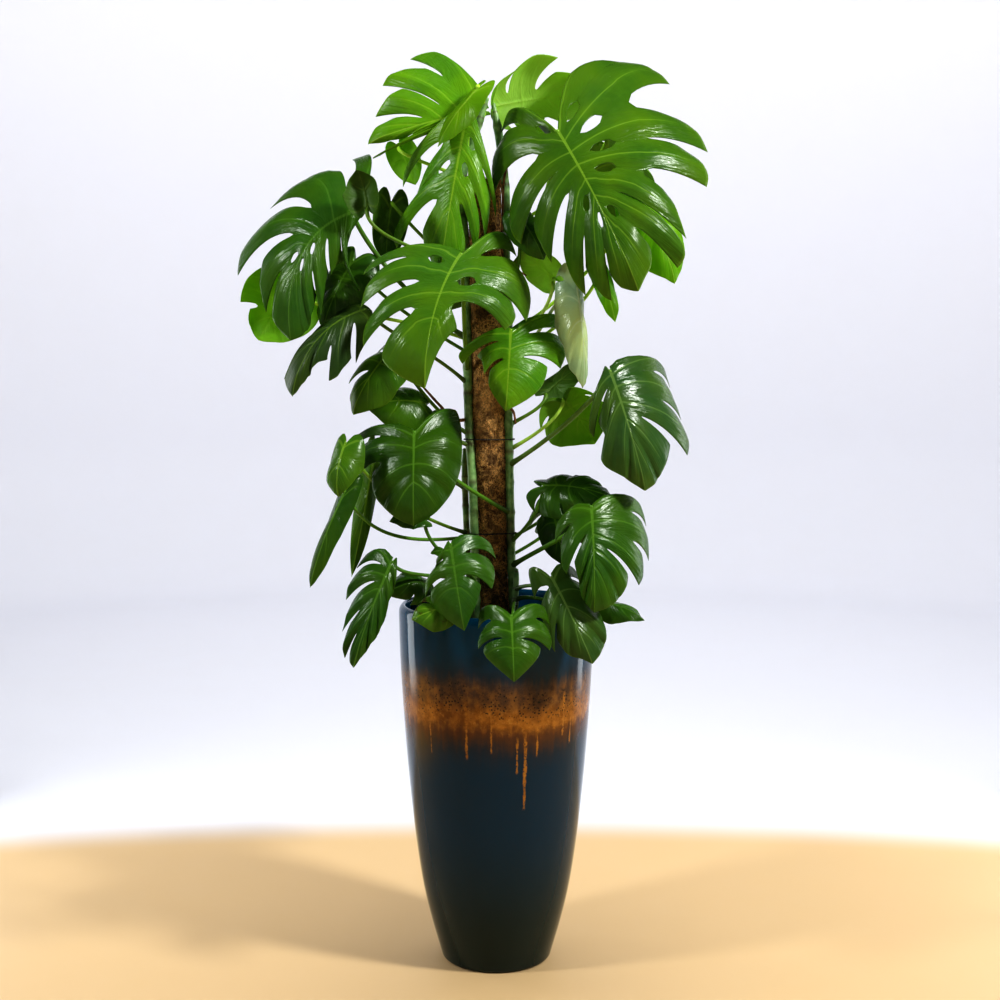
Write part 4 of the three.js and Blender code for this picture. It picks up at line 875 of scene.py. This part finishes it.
def soil_material():
    m = Nodes("soil")
    grain = m.noise(160.0, 5.0, 0.7)
    clumps = m.noise(30.0)
    colour = m.mix(m.ramp(grain, 0.3, 0.75), (0.010, 0.007, 0.004), (0.06, 0.036, 0.02))
    colour = m.over(colour, (0.11, 0.07, 0.04), m.ramp(clumps, 0.5, 0.7), 0.5)
    return m.finish(m.surface(colour, 0.95, m.bump(m.add(grain, clumps), 0.9, 0.004)))


def chip_shape(rng, size):
    base = np.array([[1, 0, 0], [-1, 0, 0], [0, 1, 0], [0, -1, 0], [0, 0, 1], [0, 0, -1]], float)
    faces = [(0, 2, 4), (2, 1, 4), (1, 3, 4), (3, 0, 4), (2, 0, 5), (1, 2, 5), (3, 1, 5), (0, 3, 5)]
    scale = size * rng.uniform(0.5, 1.2, 3) * [1, 0.7, 0.4]
    points = base * scale * rng.uniform(0.8, 1.2, (6, 1))
    turn = np.array(Euler(rng.uniform(0, 6.28, 3).tolist()).to_matrix())
    return points @ turn.T, faces


def add_soil():
    """Loose chips on the packed soil, which keeps its shape and takes the same material."""
    chips, pole_clearance = 900, 36
    rng = np.random.default_rng(7)
    build = Build()
    for _ in range(chips):
        a = rng.uniform(0, TURN)
        rad = SOIL_RADIUS * math.sqrt(rng.uniform(0, 1))
        size = rng.uniform(2.5, 6.5)
        x, y = math.cos(a) * rad, math.sin(a) * rad
        if math.hypot(x - POLE_AXIS_AT_RIM, y) < pole_clearance:
            continue
        level = np.interp(rad, [0, 120, 178], [SOIL_LEVEL + 10, SOIL_LEVEL + 4, SOIL_LEVEL - 4])
        points, faces = chip_shape(rng, size)
        build.add(points + [x, y, level + 0.4], faces, True)
    material = soil_material()
    build.make("soil_chips", material, None)
    for slot in bpy.data.objects["potting_soil"].material_slots:
        slot.material = material


# ---- pole, stems, roots and ties ----
def coir_material():
    m = Nodes("coir")
    strands = m.noise(150.0, 5.0, 0.7, warp=1.6)
    clumps = m.noise(48.0, 4.0, 0.65, warp=0.5)
    bands = m.noise(1.0, 2.0, vector=m.stretch(20, 20, 14))
    colour = m.mix(m.ramp(strands, 0.36, 0.62), (0.17, 0.070, 0.018), (1.0, 0.62, 0.24))
    # Dark where the clumps noise is high, which the bump sinks into hollows: painted shade in the gaps
    # between the fibres.
    colour = m.over(colour, (0.055, 0.022, 0.007), m.ramp(clumps, 0.46, 0.62), 0.72)
    colour = m.over(colour, (0.85, 0.50, 0.19), m.ramp(bands, 0.5, 0.7), 0.4)
    normal = m.bump(m.add(strands, m.mul(clumps, -1.5)), 1.0, 0.007)
    return m.finish(m.surface(colour, 0.93, normal))


def on_pole(angle, z, radius):
    return np.stack(np.broadcast_arrays(pole_axis(z) + np.cos(angle) * radius, np.sin(angle) * radius, z),
                    axis=-1)


def add_pole():
    """The wrap with its uneven surface, and loose fibres over it from just below the soil's level."""
    sides, rows, fibres, shag = 72, 420, 2600, 1.6
    rng = np.random.default_rng(11)
    build = Build()
    z = np.linspace(POLE_BOTTOM, POLE_TOP, rows)[:, None]
    angle = np.arange(sides) * TURN / sides
    rough = rng.normal(0, 1, (rows, sides))
    for _ in range(2):
        rough = (rough + np.roll(rough, 1, 1) + np.roll(rough, -1, 1)) / 3
    rough[1:-1] = (rough[:-2] + rough[1:-1] + rough[2:]) / 3
    points = on_pole(angle, z, pole_radius(angle, z) + rough * shag).reshape(-1, 3)
    ends = [[pole_axis(v), 0, v] for v in (POLE_BOTTOM, POLE_TOP)]
    build.add(np.concatenate([points, ends]), tube_faces(rows, sides))
    thickness = np.array([0.3, 0.45, 0.5, 0.4, 0.25])
    s = np.linspace(0, 1, 5)
    for _ in range(fibres):
        a0 = rng.uniform(0, TURN)
        z0 = rng.uniform(SOIL_LEVEL - 10, POLE_TOP - 6)
        length = rng.uniform(14, 46)
        tilt = rng.normal(0, 0.75)
        zz = np.clip(z0 + length * s * math.cos(tilt), SOIL_LEVEL - 12, POLE_TOP + 2)
        aa = a0 + length * s * math.sin(tilt) / 31
        lift, arch = rng.uniform(0.2, 1.2), rng.uniform(0, 4.5) * np.sin(math.pi * s) ** 2
        arch = arch * (rng.uniform() < 0.3)
        path = on_pole(aa, zz, pole_radius(aa, zz) + lift + arch)
        build.add(*tube(path, thickness * rng.uniform(0.7, 1.3), 3))
    build.make("coir_fibre_pole", coir_material(), "coir_pole")


def stem_material():
    """Green with brown patches, more of them lower down, and a brown ring at each node."""
    m = Nodes("stem")
    fine = m.noise(55.0, 4.0)
    age = m.ramp(m.split(m.coord)[2], 1.25, 0.75)
    green = m.mix(m.ramp(fine, 0.3, 0.7), (0.11, 0.25, 0.08), (0.32, 0.52, 0.21))
    brown = m.mix(m.ramp(m.noise(120.0), 0.3, 0.7), (0.045, 0.03, 0.012), (0.13, 0.085, 0.035))
    colour = m.over(green, brown, m.ramp(m.noise(14.0), 0.45, 0.62), m.add(0.15, m.mul(age, 0.6)))
    colour = m.over(colour, (0.10, 0.075, 0.035), m.attribute("mark")[0], 0.8)
    normal = m.bump(m.add(fine, m.mul(m.noise(200.0, 2.0), 0.4)), 0.4, 0.0015)
    return m.finish(m.surface(colour, 0.38, normal))


def add_stems():
    steps, sides, internode = 160, 18, 58
    material = stem_material()
    taper = 1 - 0.45 * smooth(0.9, 1, np.linspace(0, 1, steps))
    for number, (name, (radius, path)) in enumerate(STEMS.items()):
        line = catmull(path, np.linspace(0, 1, steps))
        nodes = [row[2] for row in LEAVES.values() if row[1] == number]
        nodes += list(np.arange(path[0][2] + 45, path[-1][2], internode) + 9 * noise(number, 5))
        swell = np.ones(steps)
        mark = np.zeros(steps)
        for z in nodes:
            swell += 0.13 * bell(line[:, 2] - z, 5)
            mark = np.maximum(mark, bell(line[:, 2] - z - 3, 1.8))
        points, faces = tube(line, radius * 0.97 * swell * taper, sides)
        ring = np.concatenate([np.repeat(mark, sides), [0, 0]])
        build = Build()
        build.add(points, faces, mark=ring[:, None])
        build.make("fine_" + name, material, name)


def root_material():
    m = Nodes("root")
    fine = m.noise(90.0, 4.0)
    colour = m.mix(m.ramp(fine, 0.3, 0.7), (0.11, 0.045, 0.015), (0.34, 0.17, 0.065))
    colour = m.over(colour, (0.05, 0.025, 0.01), m.ramp(m.noise(25.0, 2.0), 0.5, 0.7), 0.5)
    return m.finish(m.surface(colour, 0.75, m.bump(fine, 0.6, 0.001)))


def add_roots():
    material = root_material()
    rng = np.random.default_rng(5)
    s = np.linspace(0, 1, 60)
    for name, (radius, path) in ROOTS.items():
        lumps = 1 + 0.08 * np.convolve(rng.normal(0, 1, len(s)), [0.3, 0.4, 0.3], "same")
        build = Build()
        build.add(*tube(catmull(path, s), radius * lumps * (1 - 0.45 * s**2), 10))
        build.make("fine_" + name, material, name)


def cord_material():
    m = Nodes("cord")
    twist = m.noise(300.0)
    colour = m.mix(m.ramp(twist, 0.35, 0.7), (0.008, 0.008, 0.009), (0.05, 0.05, 0.052))
    return m.finish(m.surface(colour, 0.6, m.bump(twist, 0.5, 0.0008)))


def tie_loop(height):
    """The loop that a tie makes round the pole and the two front stems: points some way apart."""
    rings = [[pole_axis(height), 0, pole_radius(0, height) + 1.6]]
    for name in STEM_NAMES[:2]:
        rings.append([*stem_at(name, height)[:2], STEMS[name][0]])
    away = TIE_RADIUS + 0.5
    loop = []
    for i in range(20):
        dx, dy = math.cos(i / 20 * TURN), math.sin(i / 20 * TURN)
        x, y, radius = max(rings, key=lambda v: v[0] * dx + v[1] * dy + v[2])
        p = np.array([x + dx * (radius + away), y + dy * (radius + away), height])
        if not loop or np.linalg.norm(p - loop[-1]) > 4:
            loop.append(p)
    return loop


def add_ties():
    """Each tie is a closed cord of two strands twisted about each other."""
    steps, sides, twists, lay, strand_radius = 160, 6, 34, 0.7, 0.85
    material = cord_material()
    up = np.array([0, 0, 1.0])
    w = (np.arange(sides) * TURN / sides)[:, None]
    for name, height in TIES.items():
        line = catmull(tie_loop(height), np.arange(steps) / steps, closed=True)
        out = unit(np.cross(np.roll(line, -1, 0) - np.roll(line, 1, 0), up))
        build = Build()
        for strand in range(2):
            phase = (strand * math.pi + np.arange(steps) / steps * TURN * twists)[:, None]
            centre = line + out * np.cos(phase) * lay + up * np.sin(phase) * lay
            ring = centre[:, None] + (np.cos(w) * out[:, None] + np.sin(w) * up) * strand_radius
            build.add(ring.reshape(-1, 3), ring_faces(steps, sides, closed=True))
        build.make("fine_" + name, material, name)


# ---- floor, wall and light ----
def stage_material():
    """Warm floor inside a circle that is centred well in front of the pot, white beyond it and above."""
    centre, radius, blur = 6.0, 6.70, 0.25
    m = Nodes("studio")
    x, y, z = m.split(m.coord)
    south = m.add(y, centre)
    away = m.math("SQRT", m.add(m.mul(x, x), m.mul(south, south)), 0.0)
    warmth = m.mul(m.ramp(away, radius + blur, radius), m.ramp(z, 0.30, 0.05))
    tint = m.mix(warmth, (0.80, 0.81, 0.87), (0.70, 0.50, 0.27))
    tint = m.over(tint, (0.7, 0.6, 0.5), m.noise(6.0, 2.0), 0.05)
    return m.finish(m.surface(tint, 0.6))


def add_stage():
    """A round pale room without a ceiling: the floor turns up into the wall in one smooth curve."""
    reach, corner, height = 5.5, 0.8, 4.6
    profile = [(0.0, 0.0), (1.5, 0.0), (3.0, 0.0)]
    for a in np.linspace(0, math.pi / 2, 14):
        profile.append((reach - corner + corner * math.sin(a), corner - corner * math.cos(a)))
    points, faces = lathe([*profile, (reach, height)], 128)
    ceiling = len(points) - 1
    mesh = bpy.data.meshes.new("studio_floor")
    mesh.from_pydata(points, [], [f for f in faces if ceiling not in f])
    mesh.polygons.foreach_set("use_smooth", [True] * len(mesh.polygons))
    mesh.materials.append(stage_material())
    link("studio_floor", mesh)


def add_light(name, place, target, size, power, colour=(1, 1, 1), glossy=True):
    data = bpy.data.lights.new(name, "AREA")
    data.shape = "RECTANGLE"
    data.size, data.size_y = size
    data.energy = power
    data.color = colour
    obj = link(name, data)
    obj.location = place
    obj.rotation_euler = (Vector(target) - Vector(place)).to_track_quat("-Z", "Y").to_euler()
    obj.visible_glossy = glossy
    obj.visible_camera = False


def add_lights():
    cool = (0.95, 0.98, 1.0)
    add_light("high_right", (2.5, -1.5, 3.3), (0, 0, 1.2), (0.45, 0.45), 102, (0.98, 0.99, 0.97))
    add_light("high_left", (-2.6, -1.3, 3.0), (0, 0, 1.2), (0.45, 0.45), 42, (0.96, 0.99, 1.0))
    add_light("top", (0, 0.2, 4.2), (0, 0, 0), (1.6, 1.2), 28, glossy=False)
    add_light("side_left", (-1.6, 0.75, 0.85), (0, 0, 0.85), (0.45, 1.5), 5, cool)
    add_light("side_right", (1.6, 0.75, 0.85), (0, 0, 0.85), (0.35, 1.5), 4, cool)
    add_light("wall_wash", (0.2, 2.9, 4.5), (0.2, 5.5, 1.2), (6.0, 0.8), 66, glossy=False)
    add_light("floor_wash", (0.2, 2.6, 4.4), (0.2, 2.9, 0), (5.0, 1.0), 16, glossy=False)
    world = bpy.data.worlds.new("studio")
    world.use_nodes = True
    back = world.node_tree.nodes["Background"]
    back.inputs["Color"].default_value = (0.95, 0.97, 1.0, 1)
    back.inputs["Strength"].default_value = 0.03
    scene = bpy.context.scene
    scene.world = world
    scene.view_settings.view_transform = "Standard"
    scene.view_settings.look = "High Contrast"


add_planter()
add_soil()
add_pole()
add_stems()
add_roots()
add_ties()
add_leaves()
add_stage()
add_lights()
